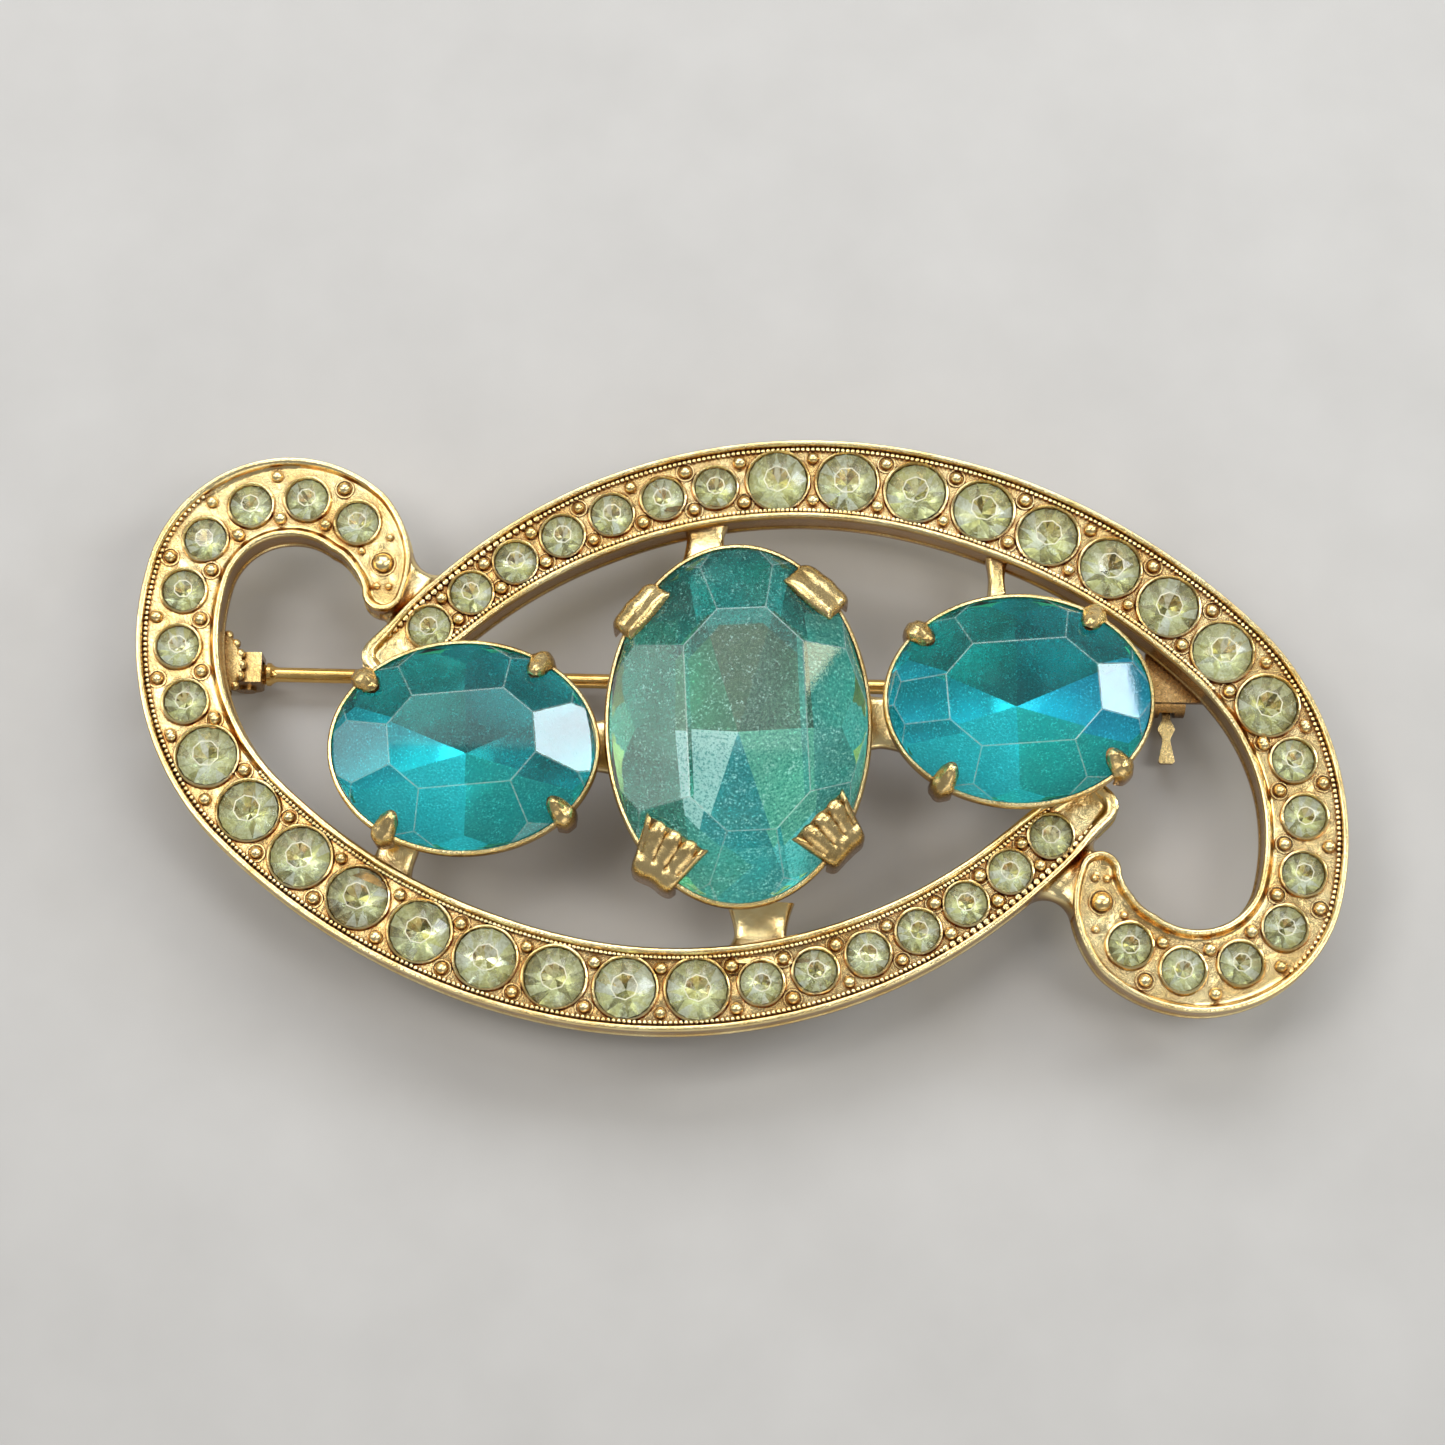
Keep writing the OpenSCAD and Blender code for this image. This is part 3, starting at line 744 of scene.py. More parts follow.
class Gem:
    """Oval cut stone, as an upright prism cut by planes, with its middle on its own Z axis.

    table holds the table's corners, side_rises how far its right and left crown facets' feet stand
    above the girdle, main and lower the tones of its pavilion planes by azimuth, and outer_tones, if
    there are any, the tones of what lies beyond each of the table's sides. These tones are painted
    reflections and painted shade: each facet is lightened or darkened by the way it faces.
    """

    def __init__(self, cad_node, crown, table, side_rises, main, lower, outer_tones=()):
        low, high = box_mm(cad_node)
        self.node = cad_node
        self.x, self.y = (low.x + high.x) / 2, (low.y + high.y) / 2
        self.a, self.b = (high.x - low.x) / 2, (high.y - low.y) / 2
        self.top = high.z
        self.upper = high.z - crown
        self.lower = self.upper - GIRDLE
        self.culet = low.z
        self.table = [Vector((x, y, self.top)) for x, y in table]
        self.crown = self.crown_planes(side_rises)
        self.pavilion = [
            self.pavilion_plane(radians(azimuth), steep)
            for steep, facets in ((1, main), (LOWER_STEEPNESS, lower)) for azimuth in facets
        ]
        self.tones = [*main.values(), *lower.values()]
        self.main_count = len(main)
        self.outer_tones = outer_tones

    def rim_point(self, direction):
        t = atan2(direction.y / self.b, direction.x / self.a)
        return Vector((self.a * cos(t), self.b * sin(t), self.upper))

    def crown_planes(self, side_rises):
        """Planes through the table's sides and the girdle, and one off each ridge between two of them."""
        planes = []
        for i, (one, two) in enumerate(pairs(self.table)):
            rim = self.rim_point((one + two) / 2)
            rim.z += side_rises[i // 4] if i % 4 == 0 else 0
            planes.append((one, upward((two - one).cross(rim - one).normalized())))
        ridges = []
        for i, corner in enumerate(self.table):
            along = -upward(planes[i - 1][1].cross(planes[i][1]).normalized())
            t = 0.0
            while self.inside(corner + along * t) and t < 20:
                t += 0.02
            outer = corner + along * t
            start = outer.lerp(corner, 0.2)
            tangent = Vector((-outer.y / self.b**2, outer.x / self.a**2, 0)).normalized()
            foot = Vector((outer.x, outer.y, self.upper + 0.02))
            ridges.append((foot, upward(tangent.cross(start - foot).normalized())))
        return planes + ridges

    def inside(self, p):
        return (p.x / self.a) ** 2 + (p.y / self.b) ** 2 < 1

    def pavilion_plane(self, azimuth, steep):
        """Plane that meets the girdle's underside at an azimuth and the axis steep times the depth down."""
        reach = hypot(self.a * cos(azimuth), self.b * sin(azimuth))
        depth = (self.lower - self.culet) * steep
        normal = Vector((*polar(depth, azimuth), -reach)).normalized()
        return Vector((*polar(reach, azimuth), self.lower)), normal

    def height(self, x, y):
        """Height of the crown over a point, by the stone's own axes."""
        heights = [p.z - ((x - p.x) * n.x + (y - p.y) * n.y) / n.z for p, n in self.crown]
        return min([self.top] + heights)

    def mesh(self, name):
        """Mesh in metres: faces take the look 0 above, 1 on the foil and 2 on the ridges, whose film is
        partly wear and partly a painted highlight line.
        """
        bm = bmesh.new()
        low, high = (
            [bm.verts.new(p) for p in oval(self.a, self.b, OVAL_STEPS, 0, z)]
            for z in (self.culet - 1, self.top)
        )
        bm.faces.new(low[::-1])
        bm.faces.new(high)
        for (a, b), (c, d) in zip(pairs(low), pairs(high)):
            bm.faces.new([a, b, d, c])
        bm.normal_update()
        for point, normal in self.crown + self.pavilion:
            cut = bmesh.ops.bisect_plane(
                bm, geom=bm.verts[:] + bm.edges[:] + bm.faces[:], plane_co=point, plane_no=normal,
                dist=1e-4, clear_outer=True,
            )
            edges = [e for e in cut["geom_cut"] if isinstance(e, bmesh.types.BMEdge)]
            if len(edges) > 2:
                bmesh.ops.contextual_create(bm, geom=edges)
        for point, outward in self.table_sides() if self.outer_tones else []:
            below = [f for f in bm.faces if f.normal.z < FOILED_BELOW]
            parts = set(below) | {e for f in below for e in f.edges} | {v for f in below for v in f.verts}
            bmesh.ops.bisect_plane(bm, geom=list(parts), plane_co=point, plane_no=outward, dist=1e-4)
        bmesh.ops.remove_doubles(bm, verts=bm.verts, dist=SHORT_EDGE)
        bmesh.ops.dissolve_degenerate(bm, edges=bm.edges, dist=SHORT_EDGE)
        bmesh.ops.recalc_face_normals(bm, faces=bm.faces)
        bm.normal_update()
        for face in bm.faces:
            face.material_index = 1 if face.normal.z < FOILED_BELOW else 0
        sharp = [
            e for e in bm.edges
            if len(e.link_faces) == 2 and e.calc_face_angle(0) > radians(7)
            and min(f.normal.z for f in e.link_faces) > 0.1
        ]
        ridges = bmesh.ops.bevel(
            bm, geom=sharp, offset=RIDGE_WIDTH, offset_type="OFFSET", segments=1, profile=0.5,
            affect="EDGES", clamp_overlap=False,
        )
        for face in ridges["faces"]:
            face.material_index = 2
        bmesh.ops.translate(bm, verts=bm.verts, vec=(self.x, self.y, 0))
        bmesh.ops.scale(bm, verts=bm.verts, vec=(MM, MM, MM))
        mesh = bpy.data.meshes.new(name)
        bm.to_mesh(mesh)
        bm.free()
        return mesh

    def table_sides(self):
        """Upright planes just inside the table's sides, counted from its right-hand side."""
        sides = []
        for one, two in pairs(self.table):
            outward = Vector((two.y - one.y, one.x - two.x, 0)).normalized()
            sides.append((one - outward * TABLE_MARGIN, outward))
        return sides

    def tone(self, normal, middle):
        """Painted reflection and shade tone of the pavilion plane that a face lies in, or of the table's side
        that it lies beyond.
        """
        closeness = [normal.dot(plane[1]) for plane in self.pavilion]
        best = closeness.index(max(closeness))
        place = Vector((middle.x - self.x, middle.y - self.y, self.top))
        beyond = [(place - point).dot(outward) for point, outward in self.table_sides()]
        if self.outer_tones and best < self.main_count and max(beyond) > 0:
            return self.outer_tones[beyond.index(max(beyond))]
        return self.tones[best]

    def foil(self):
        """Foil shell under the pavilion, cut off below the girdle."""
        n, levels = 180, 14
        bottom, top = self.culet - 0.03, self.lower - 0.45

        def ring(z, grow):
            points = []
            for i in range(n):
                angle = tau * i / n
                reaches = [1e9]
                for p, normal in self.pavilion:
                    side = normal.x * cos(angle) + normal.y * sin(angle)
                    if side > 1e-6:
                        reaches.append((normal.dot(p) - normal.z * z + grow) / side)
                t = atan2(sin(angle) / self.b, cos(angle) / self.a)
                wall = hypot(self.a * cos(t), self.b * sin(t))
                points.append((*polar(max(0.05, min(*reaches, wall)), angle), z))
            return points

        zs = [bottom + 0.04 + (top - bottom - 0.04) * k / levels for k in range(levels + 1)]
        outer = [[(x, y, z - 0.05) for x, y, z in ring(z, 0.11)] for z in zs]
        inner = [ring(z, 0.06) for z in zs]
        shape = Shape()
        shape.loft([circle(0.1, n, bottom - 0.05)] + outer + inner[::-1], shift(self.x, self.y, 0))
        return shape


def table_outline(half_x, half_y, edge_x, edge_y, angle, middle):
    """Eight-sided table: half sizes, half lengths of its top and side edges, turn and middle."""
    corners = [
        (half_x, -edge_y), (half_x, edge_y), (edge_x, half_y), (-edge_x, half_y),
        (-half_x, edge_y), (-half_x, -edge_y), (-edge_x, -half_y), (edge_x, -half_y),
    ]
    turn = Matrix.Rotation(radians(angle), 2)
    return [tuple(turn @ Vector(c) + Vector(middle)) for c in corners]


# Facet tones of the big stones are painted reflections and painted shade: each facet is lightened or darkened
# by the way it faces, and tones above one reflect more light than any surface can
SHADED_TEAL = (0.08, 0.42, 0.4, 0.9)
LIT_CYAN = (0.4, 1.3, 1.3, 0.45)
centre_gem = Gem(
    "centre_stone", CENTRE_CROWN, table_outline(2.95, 5.6, 1.2, 3.8, 2.5, (0.4, -0.15)), (0.67, 0),
    {
        34: (0.4, 0.58, 0.45, 0.85), 90: (0.34, 0.36, 0.25, 0.85), 146: (0.32, 0.68, 0.44, 0.7),
        214: (1.12, 1.22, 1.18, 0.12), 270: (0.15, 0.8, 0.85, 0.7), 326: (0.45, 1.1, 0.85, 0.45),
    },
    {
        0: (0.4, 1.3, 1.25, 0.4), 56: (0.12, 0.62, 0.6, 0.85), 124: (0.12, 0.6, 0.58, 0.85),
        180: (0.3, 0.66, 0.55, 0.8), 236: (0.6, 1.0, 0.45, 0.5), 304: (0.3, 1.2, 1.4, 0.4),
    },
    [
        (0.32, 0.95, 0.88, 0.6), (0.12, 0.62, 0.6, 0.85), (0.1, 0.58, 0.55, 0.85), (0.1, 0.5, 0.45, 0.85),
        (0.28, 0.68, 0.55, 0.75), (0.28, 0.86, 0.74, 0.6), (0.22, 0.88, 0.9, 0.6), (0.42, 1.25, 1.3, 0.35),
    ],
)
left_gem = Gem(
    "left_stone", SIDE_CROWN, table_outline(3.6, 2.35, 2.25, 1.0, 5, (0.0, 0.1)), (-0.13, 0),
    {
        0: (0.2, 0.62, 0.6, 0.9), 56: (0.3, 0.42, 0.4, 0.85), 124: (0.3, 0.46, 0.42, 0.85),
        180: (0.3, 1.0, 1.1, 0.6), 236: LIT_CYAN, 304: (0.3, 0.95, 0.85, 0.6),
    },
    {
        28: SHADED_TEAL, 90: SHADED_TEAL, 152: SHADED_TEAL,
        208: (0.3, 0.8, 0.8, 0.8), 270: LIT_CYAN, 332: (0.2, 0.9, 0.75, 0.6),
    },
)
right_gem = Gem(
    "right_stone", SIDE_CROWN, table_outline(3.75, 2.6, 2.3, 1.15, 4, (0.1, 0.05)), (0.14, 0.35),
    {
        0: (0.3, 0.9, 1.3, 0.6), 56: (0.12, 0.38, 0.36, 0.9), 124: (0.2, 0.5, 0.44, 0.9),
        180: (0.2, 0.95, 0.95, 0.7), 236: LIT_CYAN, 304: (0.3, 1.05, 0.9, 0.6),
    },
    {
        28: SHADED_TEAL, 90: SHADED_TEAL, 152: (0.1, 0.55, 0.55, 0.9),
        208: (0.4, 1.1, 1.2, 0.5), 270: (0.3, 1.1, 1.0, 0.5), 332: (0.15, 0.8, 0.7, 0.7),
    },
)


def build_stones():
    for gem, glass, foiled in (
        (centre_gem, centre_glass, centre_foiled),
        (left_gem, side_glass, side_foiled),
        (right_gem, side_glass, side_foiled),
    ):
        name = f"{gem.node}_cut"
        piece = make(name, gem.mesh(name), [glass, foiled, ridge_wear_and_highlight], gem.node, smooth=False)
        paint_facets(piece.data, gem.tone)
        foil_node = gem.node.replace("stone", "foil")
        make(f"{foil_node}_shell", gem.foil(), foil_back, foil_node, sharp=20)


# ---------------------------------------------------------------- settings and prongs
# Sections as (outward, up) from the girdle's underside and from the setting's foot
BEZEL = [
    (0.02, -0.4), (0.02, 0.28), (0.07, 0.36), (0.17, 0.35), (0.25, 0.26), (0.27, 0.12), (0.22, 0.03),
    (0.27, -0.06), (0.27, -0.2), (0.2, -0.36), (0.12, -0.42),
]
FOOT_WIRE = [
    (-0.16, 0.02), (-0.1, 0.0), (0.14, 0.0), (0.22, 0.08), (0.22, 0.34), (0.12, 0.44), (-0.08, 0.42),
    (-0.16, 0.3),
]
POST_THICKNESS = 0.2

# Centre tabs: direction, sideways shift, length over the crown, base and tip width, flutes and their depth
CENTRE_PRONGS = [
    (49, 1.45, 1.5, 3.0, 3.1, 0, 0.12), (140, -1.3, 1.15, 3.0, 3.1, 0, 0.12),
    (238, 0.5, 2.2, 2.5, 3.6, 4, 0.3), (315, -0.7, 1.9, 2.5, 3.6, 4, 0.3),
]
SIDE_PRONG_AZIMUTHS = (60, 133)


def setting_shape(gem, posts, foot_share, depth):
    """Bezel wire, foot wire and arched posts between them."""
    shape = Shape()
    place = shift(gem.x, gem.y, 0)
    foot_z = gem.lower - depth
    shape.oval_hoop(gem.a, gem.b, gem.lower, BEZEL, place)
    shape.oval_hoop(gem.a * foot_share, gem.b * foot_share, foot_z, FOOT_WIRE, place)
    low_z, top_z = foot_z + 0.3, gem.lower - 0.25
    span = tau / posts
    for post in range(posts):
        rings = []
        for j in range(13):
            share = j / 12
            z = low_z + (top_z - low_z) * share
            size = foot_share + (1 - foot_share) * (z - foot_z) / depth
            narrow = 0.16 + 0.34 * abs(2 * share - 1) ** 3 + 0.3 * share**6
            angles = [span * post + span * narrow * (i / 3 - 1) for i in range(7)]
            a, b = gem.a * size, gem.b * size
            rings.append(
                [(a * cos(t), b * sin(t), z) for t in angles]
                + [((a + POST_THICKNESS) * cos(t), (b + POST_THICKNESS) * sin(t), z) for t in angles[::-1]]
            )
        shape.loft(rings, place)
    return shape


def crown_path(gem, place, width, length, leg):
    """Middle line of a tab, as (outward, up): up its leg, then over the stone's crown, rounded off."""
    leg_steps, bend_steps = 5, 14
    path = [(0.05, -leg + (leg + 0.15) * k / leg_steps) for k in range(leg_steps + 1)]
    for k in range(1, bend_steps + 1):
        x = -length * k / bend_steps
        spots = [place @ Vector((x, side * width / 2, 0)) for side in (-0.8, 0, 0.8)]
        crown = max(gem.height(p.x - gem.x, p.y - gem.y) for p in spots)
        path.append((x, max(crown - place.translation.z, GIRDLE + 0.1) + 0.03))
    for _ in range(2):
        path[1:-1] = [
            tuple(0.25 * a + 0.5 * b + 0.25 * c for a, b, c in zip(p, q, r))
            for p, q, r in zip(path, path[1:], path[2:])
        ]
    return path


def fold_over(shape, gem, place, width, tip_width, length, leg, thick, lobes, depth, seed):
    """Tab that stands outside a setting and folds over the stone's crown.

    place takes the tab's own axes to millimetres: +X points away from the stone. lobes is how many
    rounded flutes the tab has, or 0 for a plain tab, and depth is how deep they are or how round the tab is.
    """
    across = 24
    path = crown_path(gem, place, width, length, leg)
    steps = len(path) - 1
    rings = []
    for j, (x, z) in enumerate(path):
        before, after = path[max(0, j - 1)], path[min(steps, j + 1)]
        dx, dz = after[0] - before[0], after[1] - before[1]
        size = hypot(dx, dz)
        share = j / steps
        fan = max(0.0, share - 0.3) / 0.7
        half = (width + (tip_width - width) * fan) / 2
        nose = 1 - 0.55 * max(0.0, (share - 0.86) / 0.14) ** 2
        low, high = [], []
        for i in range(across + 1):
            u = 2 * i / across - 1
            wave = cos((lobes or 1) * pi * u / 2)
            if lobes:
                flute = abs(wave)
                pull = 0.55 * depth * (1 - flute**0.5) * fan * length
                deep = depth * min(1.0, 4 * fan)
                dome = 1 - deep + deep * flute**0.6
            else:
                pull = depth * fan * u * u * length
                dome = 0.35 + 0.65 * max(0.0, wave) ** (2 * depth)
            dome += 0.16 * wobble(x * 2, u * 2, seed, 0.9, 6)
            t = max(0.1, thick * dome * (1 - abs(u) ** 8) ** 0.5 * nose)
            px, pz = x + pull * abs(dx) / size, z - pull * dz / size if dx < 0 else z
            low.append((px, u * half, pz))
            high.append((px + dz / size * t, u * half * (1 - 0.02 * fan), pz - dx / size * t))
        rings.append(low + high[::-1])
    shape.loft(rings, place)


def centre_prong_shape(gem):
    """Two plain tabs and two fluted fans."""
    shape = Shape()
    a, b = gem.a + SETTING_WALL, gem.b + SETTING_WALL
    for azimuth, sideways, length, width, tip_width, lobes, depth in CENTRE_PRONGS:
        reach = hypot(a * cos(radians(azimuth)), b * sin(radians(azimuth)))
        place = shift(gem.x, gem.y, gem.lower) @ turned(azimuth, "Z") @ shift(reach, sideways, 0)
        fold_over(shape, gem, place, width, tip_width, length, 1.6, 0.46, lobes, depth, azimuth)
    return shape


def side_prong_shape(gem):
    """Four pointed claws, in opposite pairs."""
    shape = Shape()
    a, b = gem.a + SETTING_WALL, gem.b + SETTING_WALL
    for turn in (0, 180):
        for azimuth in SIDE_PRONG_AZIMUTHS:
            angle = radians(azimuth)
            reach = hypot(a * cos(angle), b * sin(angle))
            touch = shift(a * a * cos(angle) / reach, b * b * sin(angle) / reach, 0)
            place = shift(gem.x, gem.y, gem.lower) @ turned(turn, "Z") @ touch @ turned(azimuth, "Z")
            fold_over(shape, gem, place, 1.25, 1.0, 1.2, 0.95, 0.5, 0, 0.45, azimuth + turn)
    return shape


def build_settings():
    for gem, posts, foot_share, depth, prong_shape in (
        (centre_gem, 10, 0.45, 3.85, centre_prong_shape),
        (left_gem, 8, 0.5, 3.35, side_prong_shape),
        (right_gem, 8, 0.5, 3.35, side_prong_shape),
    ):
        side = gem.node.split("_")[0]
        make(f"{side}_gallery", setting_shape(gem, posts, foot_share, depth), gold, f"{side}_setting")
        make(f"{side}_claws", prong_shape(gem), antique_and_shade_gold, f"{side}_prongs", sharp=50)


# ---------------------------------------------------------------- webs, struts and bridges
STRUT_LOW = box_mm("top_strut")[0].z
ARM_RIM = 0.33
WEB_ROWS = 16
TRACE_STEPS = 720
ARM_TRACE = [
    (*beside(s, 0), half_width(s)) for s in (ARM_LENGTH * i / TRACE_STEPS for i in range(TRACE_STEPS + 1))
]

# Cast bars: start and end, half widths at the start, waist and end, and height
BARS = (
    ("top_strut", (-1.65, 8.7), (-1.65, 11.75), (1.3, 0.95, 2.1), 1.15),
    ("bottom_strut", (1.1, -8.7), (1.1, -11.75), (1.7, 1.3, 2.6), 1.2),
    ("left_bridge", (-8.3, -0.6), (-5.9, -0.6), (1.65, 1.3, 1.65), 1.05),
    ("right_bridge", (5.9, 0.6), (8.5, 0.6), (1.65, 1.3, 1.65), 1.05),
    ("right_post", (13.15, 6.0), (13.15, 10.1), (0.75, 0.42, 0.85), 1.05),
    ("left_solder_joint", (-17.7, -8.0), (-16.5, -4.6), (1.6, 1.0, 1.0), 1.05),
)


def left_gap(x, y):
    """Distance from a point to the left arm's edge."""
    return min(hypot(x - u, y - v) - w for u, v, w in ARM_TRACE)


def right_gap(x, y):
    return left_gap(-x, -y)


def fillet(start, radius):
    """Circle that touches both arms: points from inside the left one to inside the right one."""
    x, y = start
    step = 0.01
    for _ in range(12):
        miss = [gap(x, y) - radius for gap in (left_gap, right_gap)]
        slopes = [
            (
                (gap(x + step, y) - gap(x - step, y)) / (2 * step),
                (gap(x, y + step) - gap(x, y - step)) / (2 * step),
            )
            for gap in (left_gap, right_gap)
        ]
        (a, b), (c, d) = slopes
        spread = a * d - b * c
        x -= max(-0.5, min(0.5, (miss[0] * d - miss[1] * b) / spread))
        y -= max(-0.5, min(0.5, (miss[1] * a - miss[0] * c) / spread))
    first, last = (atan2(-dy, -dx) for dx, dy in slopes)
    sweep = (last - first + pi) % tau - pi
    arc = [(radius, first + sweep * i / 16) for i in range(17)]
    arc = [(radius + 0.3, first)] + arc + [(radius + 0.3, last)]
    return [Vector((x, y)) + Vector(polar(r, angle)) for r, angle in arc]


def web_shape():
    """Saddle of cast metal between the left curl and the right arm's tail."""
    outer, inner = fillet((-14.9, 9.6), 1.3), fillet((-18.9, 5.6), 0.45)
    rings = []
    for i, (a, b) in enumerate(zip(outer, inner)):
        crest = ARM_TOP - 0.12 - 0.55 * sin(pi * i / (len(outer) - 1)) ** 0.8
        ring = [(*a, STRUT_LOW), (*a, crest - 0.7)]
        for k in range(1, WEB_ROWS):
            across = k / WEB_ROWS
            p = a.lerp(b, across)
            z = crest - 0.5 * (1 - (1 - abs(2 * across - 1) ** 4) ** 0.5) + 0.07 * wobble(p.x, p.y, 0, 0.8, 7)
            if min(left_gap(p.x, p.y), right_gap(p.x, p.y)) < -ARM_RIM:
                z = min(z, ARM_FLOOR - 0.4)
            ring.append((p.x, p.y, z))
        rings.append(ring + [(*b, crest - 0.7), (*b, STRUT_LOW)])
    shape = Shape()
    shape.loft(rings)
    return shape


def bar_shape(start, end, widths, height, seed):
    """Cast bar between two points, with a rounded section that widens and rises to its ends."""
    start, end = Vector(start), Vector(end)
    along = (end - start).normalized()
    side = Vector((along.y, -along.x))
    rings = []
    for k in range(21):
        share = k / 20
        out = abs(2 * share - 1)
        flare = widths[0] if share < 0.5 else widths[2]
        half = widths[1] + (flare - widths[1]) * out**1.6
        low, high = STRUT_LOW, STRUT_LOW + height + 0.35 * out**2
        ring = []
        for i in range(28):
            u, v = (copysign(abs(f) ** 0.55, f) for f in polar(1, tau * i / 28))
            p = start.lerp(end, share) + side * (half * u)
            lump = 1 + 0.09 * wobble(p.x, p.y, v, 0.7, seed) if v > 0 else 1
            ring.append((p.x, p.y, (low + high) / 2 + (high - low) / 2 * v * lump))
        rings.append(ring)
    shape = Shape()
    shape.loft(rings)
    return shape


def build_joins():
    web = web_shape()
    for name, place in (("upper_web", UPRIGHT), ("lower_web", HALF_TURN)):
        make(f"{name}_cast", web.moved(place), gold, name, sharp=50)
    for seed, (name, start, end, widths, height) in enumerate(BARS):
        make(f"{name}_cast", bar_shape(start, end, widths, height, seed), gold, name, sharp=50)


# ---------------------------------------------------------------- hinge, pin and catch
JOINTS = {joint["name"]: joint for joint in frame["joints"]}
PLATE_GRAINS = 22
WIRE_RADIUS = 0.38
WIRE_END = 46.3
POINT_LENGTH = 3.4
POINT_RADIUS = 0.06
# Turned collars where the wire leaves its knuckle: (radius, distance from the hinge)
COLLAR = [
    (0.0, 0.7), (0.5, 0.72), (0.56, 0.8), (0.56, 0.9), (0.47, 0.96), (0.6, 1.02), (0.6, 1.2), (0.5, 1.3),
]


def build_hinge_plate():
    """Domed plate with a beaded edge."""
    low, high = box_mm("hinge_plate")
    r, t = (high.x - low.x) / 2, high.z - low.z
    place = shift((low.x + high.x) / 2, (low.y + high.y) / 2, low.z)
    shape = Shape()
    dome = [(r - 0.35, 0), (r - 0.25, 0.04), (r - 0.22, t - 0.12), (r - 0.34, t - 0.02), (0.01, t)]
    shape.lathe(dome, 64, place)
    grain = [(0.285 * cos(a), 0.25 * sin(a)) for a in (-1.5, -1.1, -0.6, 0, 0.5, 0.9, 1.25, 1.5)]
    for k in range(PLATE_GRAINS):
        shape.lathe(grain, 14, place @ shift(*polar(r - 0.29, tau * k / PLATE_GRAINS), t * 0.5))
    # Darker antique plate: partly painted shade under the arm
    make("hinge_plate_beaded", shape, antique_and_shade_gold, "hinge_plate")


def build_pin():
    """Drawn wire with turned collars and a ground point, along the line from the hinge to the catch."""
    along = Vector(JOINTS["catch_turn"]["axis"]).normalized()
    up = Vector((0, 0, 1))
    place = Matrix((-up, up.cross(along), along)).transposed().to_4x4()
    place.translation = Vector(JOINTS["pin_hinge"]["pos_m"]) / MM
    profile = COLLAR + [(0.42, 1.42), (WIRE_RADIUS, 1.6), (WIRE_RADIUS, WIRE_END)]
    for k in range(1, 7):
        narrower = (POINT_RADIUS - WIRE_RADIUS) * k / 6
        profile.append((WIRE_RADIUS + narrower, WIRE_END + POINT_LENGTH * k / 6))
    shape = Shape()
    shape.lathe(profile, 32, place)
    make("pin_stem_turned", shape, wire, "pin_stem", body="pin")


def soften_cad():
    """Keeps some CAD nodes, and gives each a material and softened edges. The hinge and catch pieces take
    darker plates as painted shade from the arms above them; the antique plate is also partly an aged tone.
    """
    for cad_node, width, look in (
        ("hinge_bracket", 0.1, antique_and_shade_gold), ("hinge_rivet", 0.05, antique_and_shade_gold), ("pin_knuckle", 0.06, wire),
        ("catch_base", 0.08, shaded_plate), ("catch_rotor", 0.09, antique_and_shade_gold),
    ):
        piece = frame["nodes"][cad_node]
        piece.data.materials.clear()
        piece.data.materials.append(look)
        soft = piece.modifiers.new("soft_edges", "BEVEL")
        soft.width = width * MM
        soft.segments = 2
        soft.limit_method = "ANGLE"
        soft.angle_limit = radians(30)


# ---------------------------------------------------------------- stage
TARGET = Vector((-0.78, 0.35, ARM_TOP))
VIEW_DISTANCE = 165
VIEW_ELEVATION = 77
PIXELS_PER_MM = 20
FRAME_PIXELS = 1445
LAMPS_FACE = Vector((0, 0, 5))
FLOOR_HALF = 2.5
WORLD_COLOUR = (0.85, 0.87, 0.9)
WORLD_STRENGTH = 0.33

# Area lights: direction, distance, width, height, radiance (the brightness to the eye) and colour
LAMPS = {
    "back_sky": ((0.0, 0.72, 0.69), 300, 320, 140, 4.0, (0.95, 0.97, 1.0)),
    "window": ((0.83, 0.28, 0.48), 280, 56, 56, 15, (0.86, 0.93, 1.0)),
    "left_wall": ((-0.844, 0.161, 0.518), 291, 90, 90, 2.6, (1.0, 0.97, 0.92)),
    "front_fill": ((0.25, -0.92, 0.3), 320, 200, 90, 1.6, (1.0, 0.95, 0.88)),
    "lamp": ((-0.45, 0.1, 0.89), 280, 100, 100, 6.4, (1.0, 0.96, 0.9)),
    "right_lamp": ((0.5, -0.1, 0.86), 280, 70, 110, 6.0, (1.0, 0.97, 0.92)),
    "table_veil": ((-24, 84, 273), 286.637, 76, 52, 1.3, (1.0, 0.96, 0.84)),
    "paste_card": ((38, 92, 273), 290.58, 45, 20, 9, (0.9, 0.95, 1.0)),
    "curtain": ((185, 86, 195), 282.216, 26, 60, 8, (1.0, 0.9, 0.6)),
}
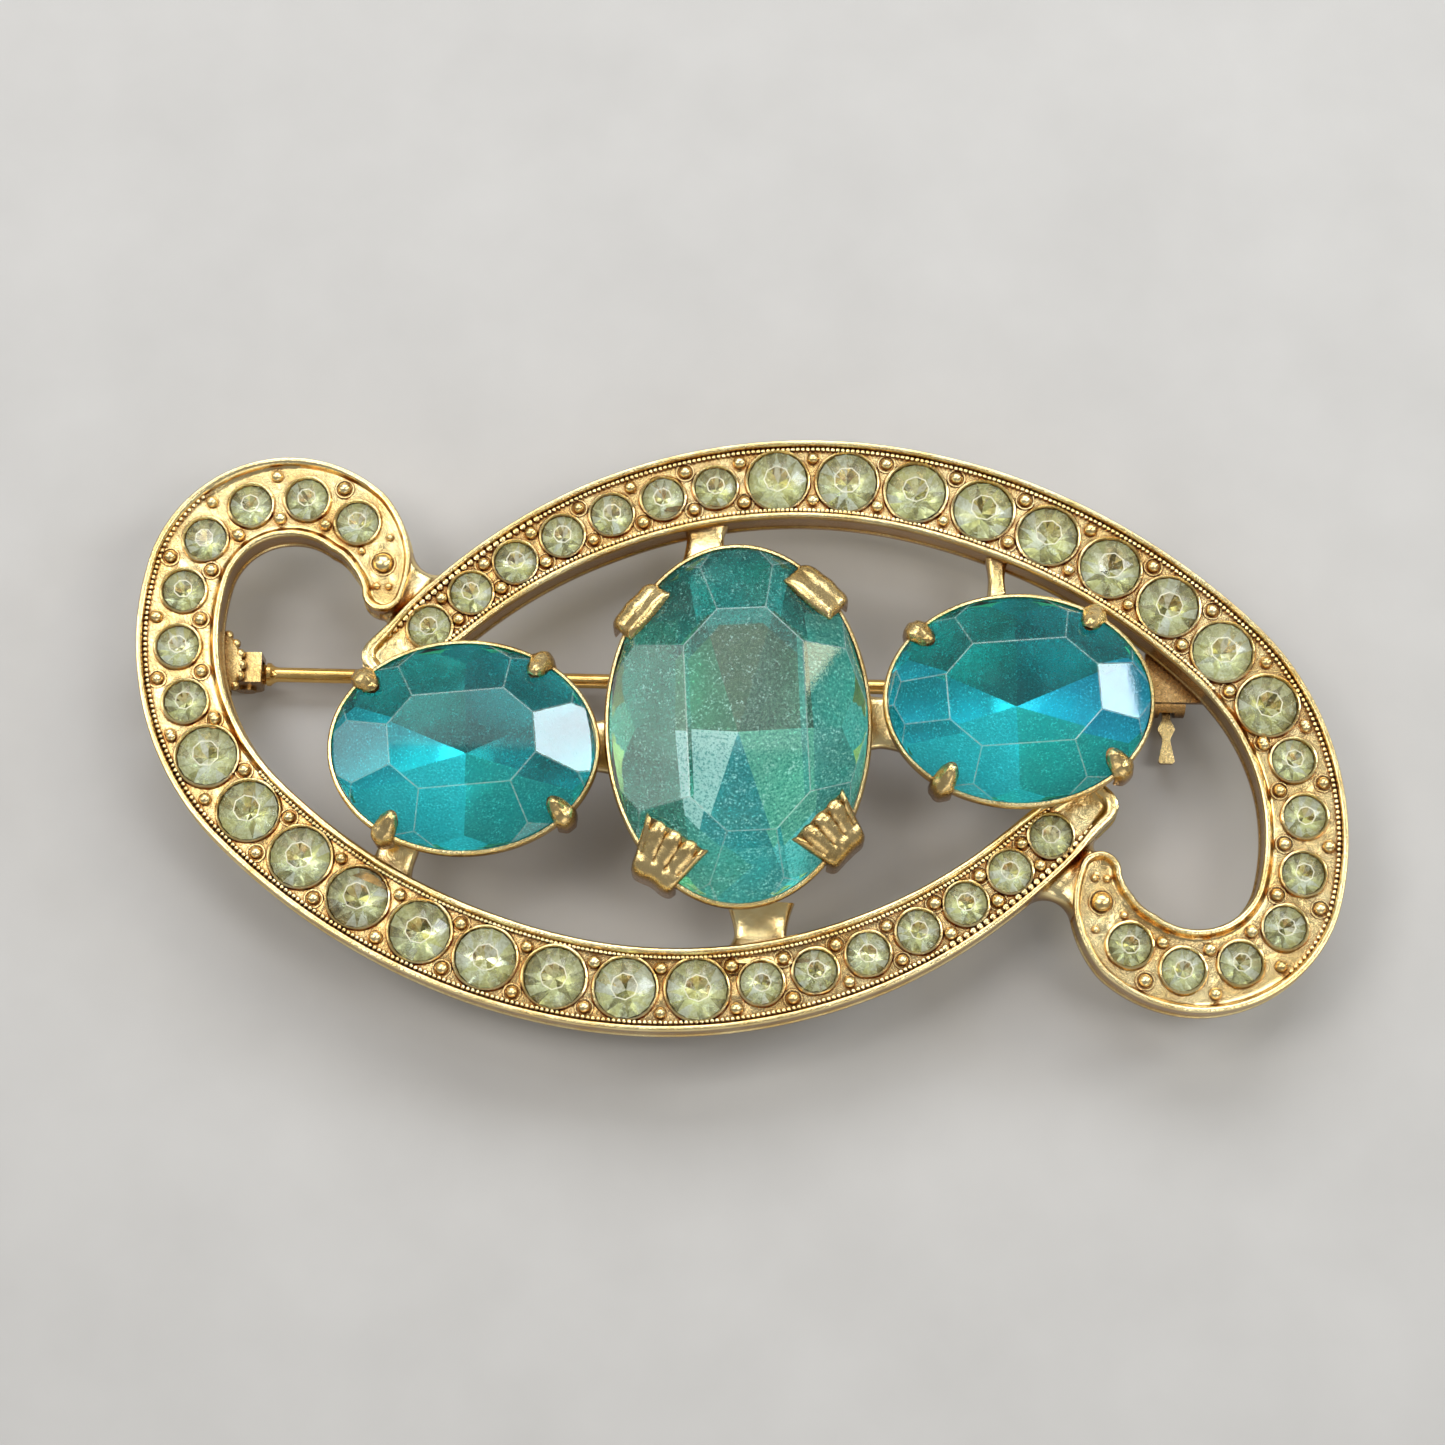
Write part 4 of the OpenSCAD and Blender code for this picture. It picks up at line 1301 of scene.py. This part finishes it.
# Directions of the height of those that a facet or a table mirrors
CARDS = {"table_veil": (0, 1, 0), "paste_card": (0, 1, 0), "curtain": (4, 8, -4)}


def look_at(thing, place, target):
    thing.location = place * MM
    thing.rotation_mode = "QUATERNION"
    thing.rotation_quaternion = (target - place).to_track_quat("-Z", "Y")


def build_camera():
    data = bpy.data.cameras.new("camera")
    data.sensor_width = 36
    data.lens = data.sensor_width * PIXELS_PER_MM * VIEW_DISTANCE / FRAME_PIXELS
    data.clip_start, data.clip_end = 0.005, 5
    camera = linked("camera", data)
    back = Vector((0, -cos(radians(VIEW_ELEVATION)), sin(radians(VIEW_ELEVATION))))
    look_at(camera, TARGET + back * VIEW_DISTANCE, TARGET)
    bpy.context.scene.camera = camera


def build_lights():
    for name, (direction, distance, width, height, radiance, colour) in LAMPS.items():
        data = bpy.data.lights.new(name, "AREA")
        data.shape = "RECTANGLE"
        data.size, data.size_y = width * MM, height * MM
        data.energy = radiance * pi * data.size * data.size_y
        data.color = colour
        lamp = linked(name, data)
        back = Vector(direction).normalized()
        look_at(lamp, back * distance, LAMPS_FACE)
        if name in CARDS:
            across = Vector(CARDS[name]).cross(back).normalized()
            turn = Matrix((across, back.cross(across), back)).transposed()
            lamp.rotation_quaternion = turn.to_quaternion()
    world = bpy.data.worlds.new("studio")
    world.use_nodes = True
    background = world.node_tree.nodes["Background"].inputs
    background["Color"].default_value = (*WORLD_COLOUR, 1)
    background["Strength"].default_value = WORLD_STRENGTH
    bpy.context.scene.world = world


def build_floor():
    z = cad_box[0].z - 0.01 * MM
    corners = [(x * FLOOR_HALF, y * FLOOR_HALF, z) for x, y in ((-1, -1), (1, -1), (1, 1), (-1, 1))]
    mesh = bpy.data.meshes.new("floor")
    mesh.from_pydata(corners, [], [[0, 1, 2, 3]])
    mesh.materials.append(material("floor", pale_floor))
    floor = linked("floor", mesh)


build_camera()
build_arms()
build_pastes()
build_stones()
build_settings()
build_joins()
build_hinge_plate()
build_pin()
soften_cad()
build_lights()
build_floor()
bpy.context.scene.view_settings.view_transform = "Standard"

bpy.context.view_layer.update()
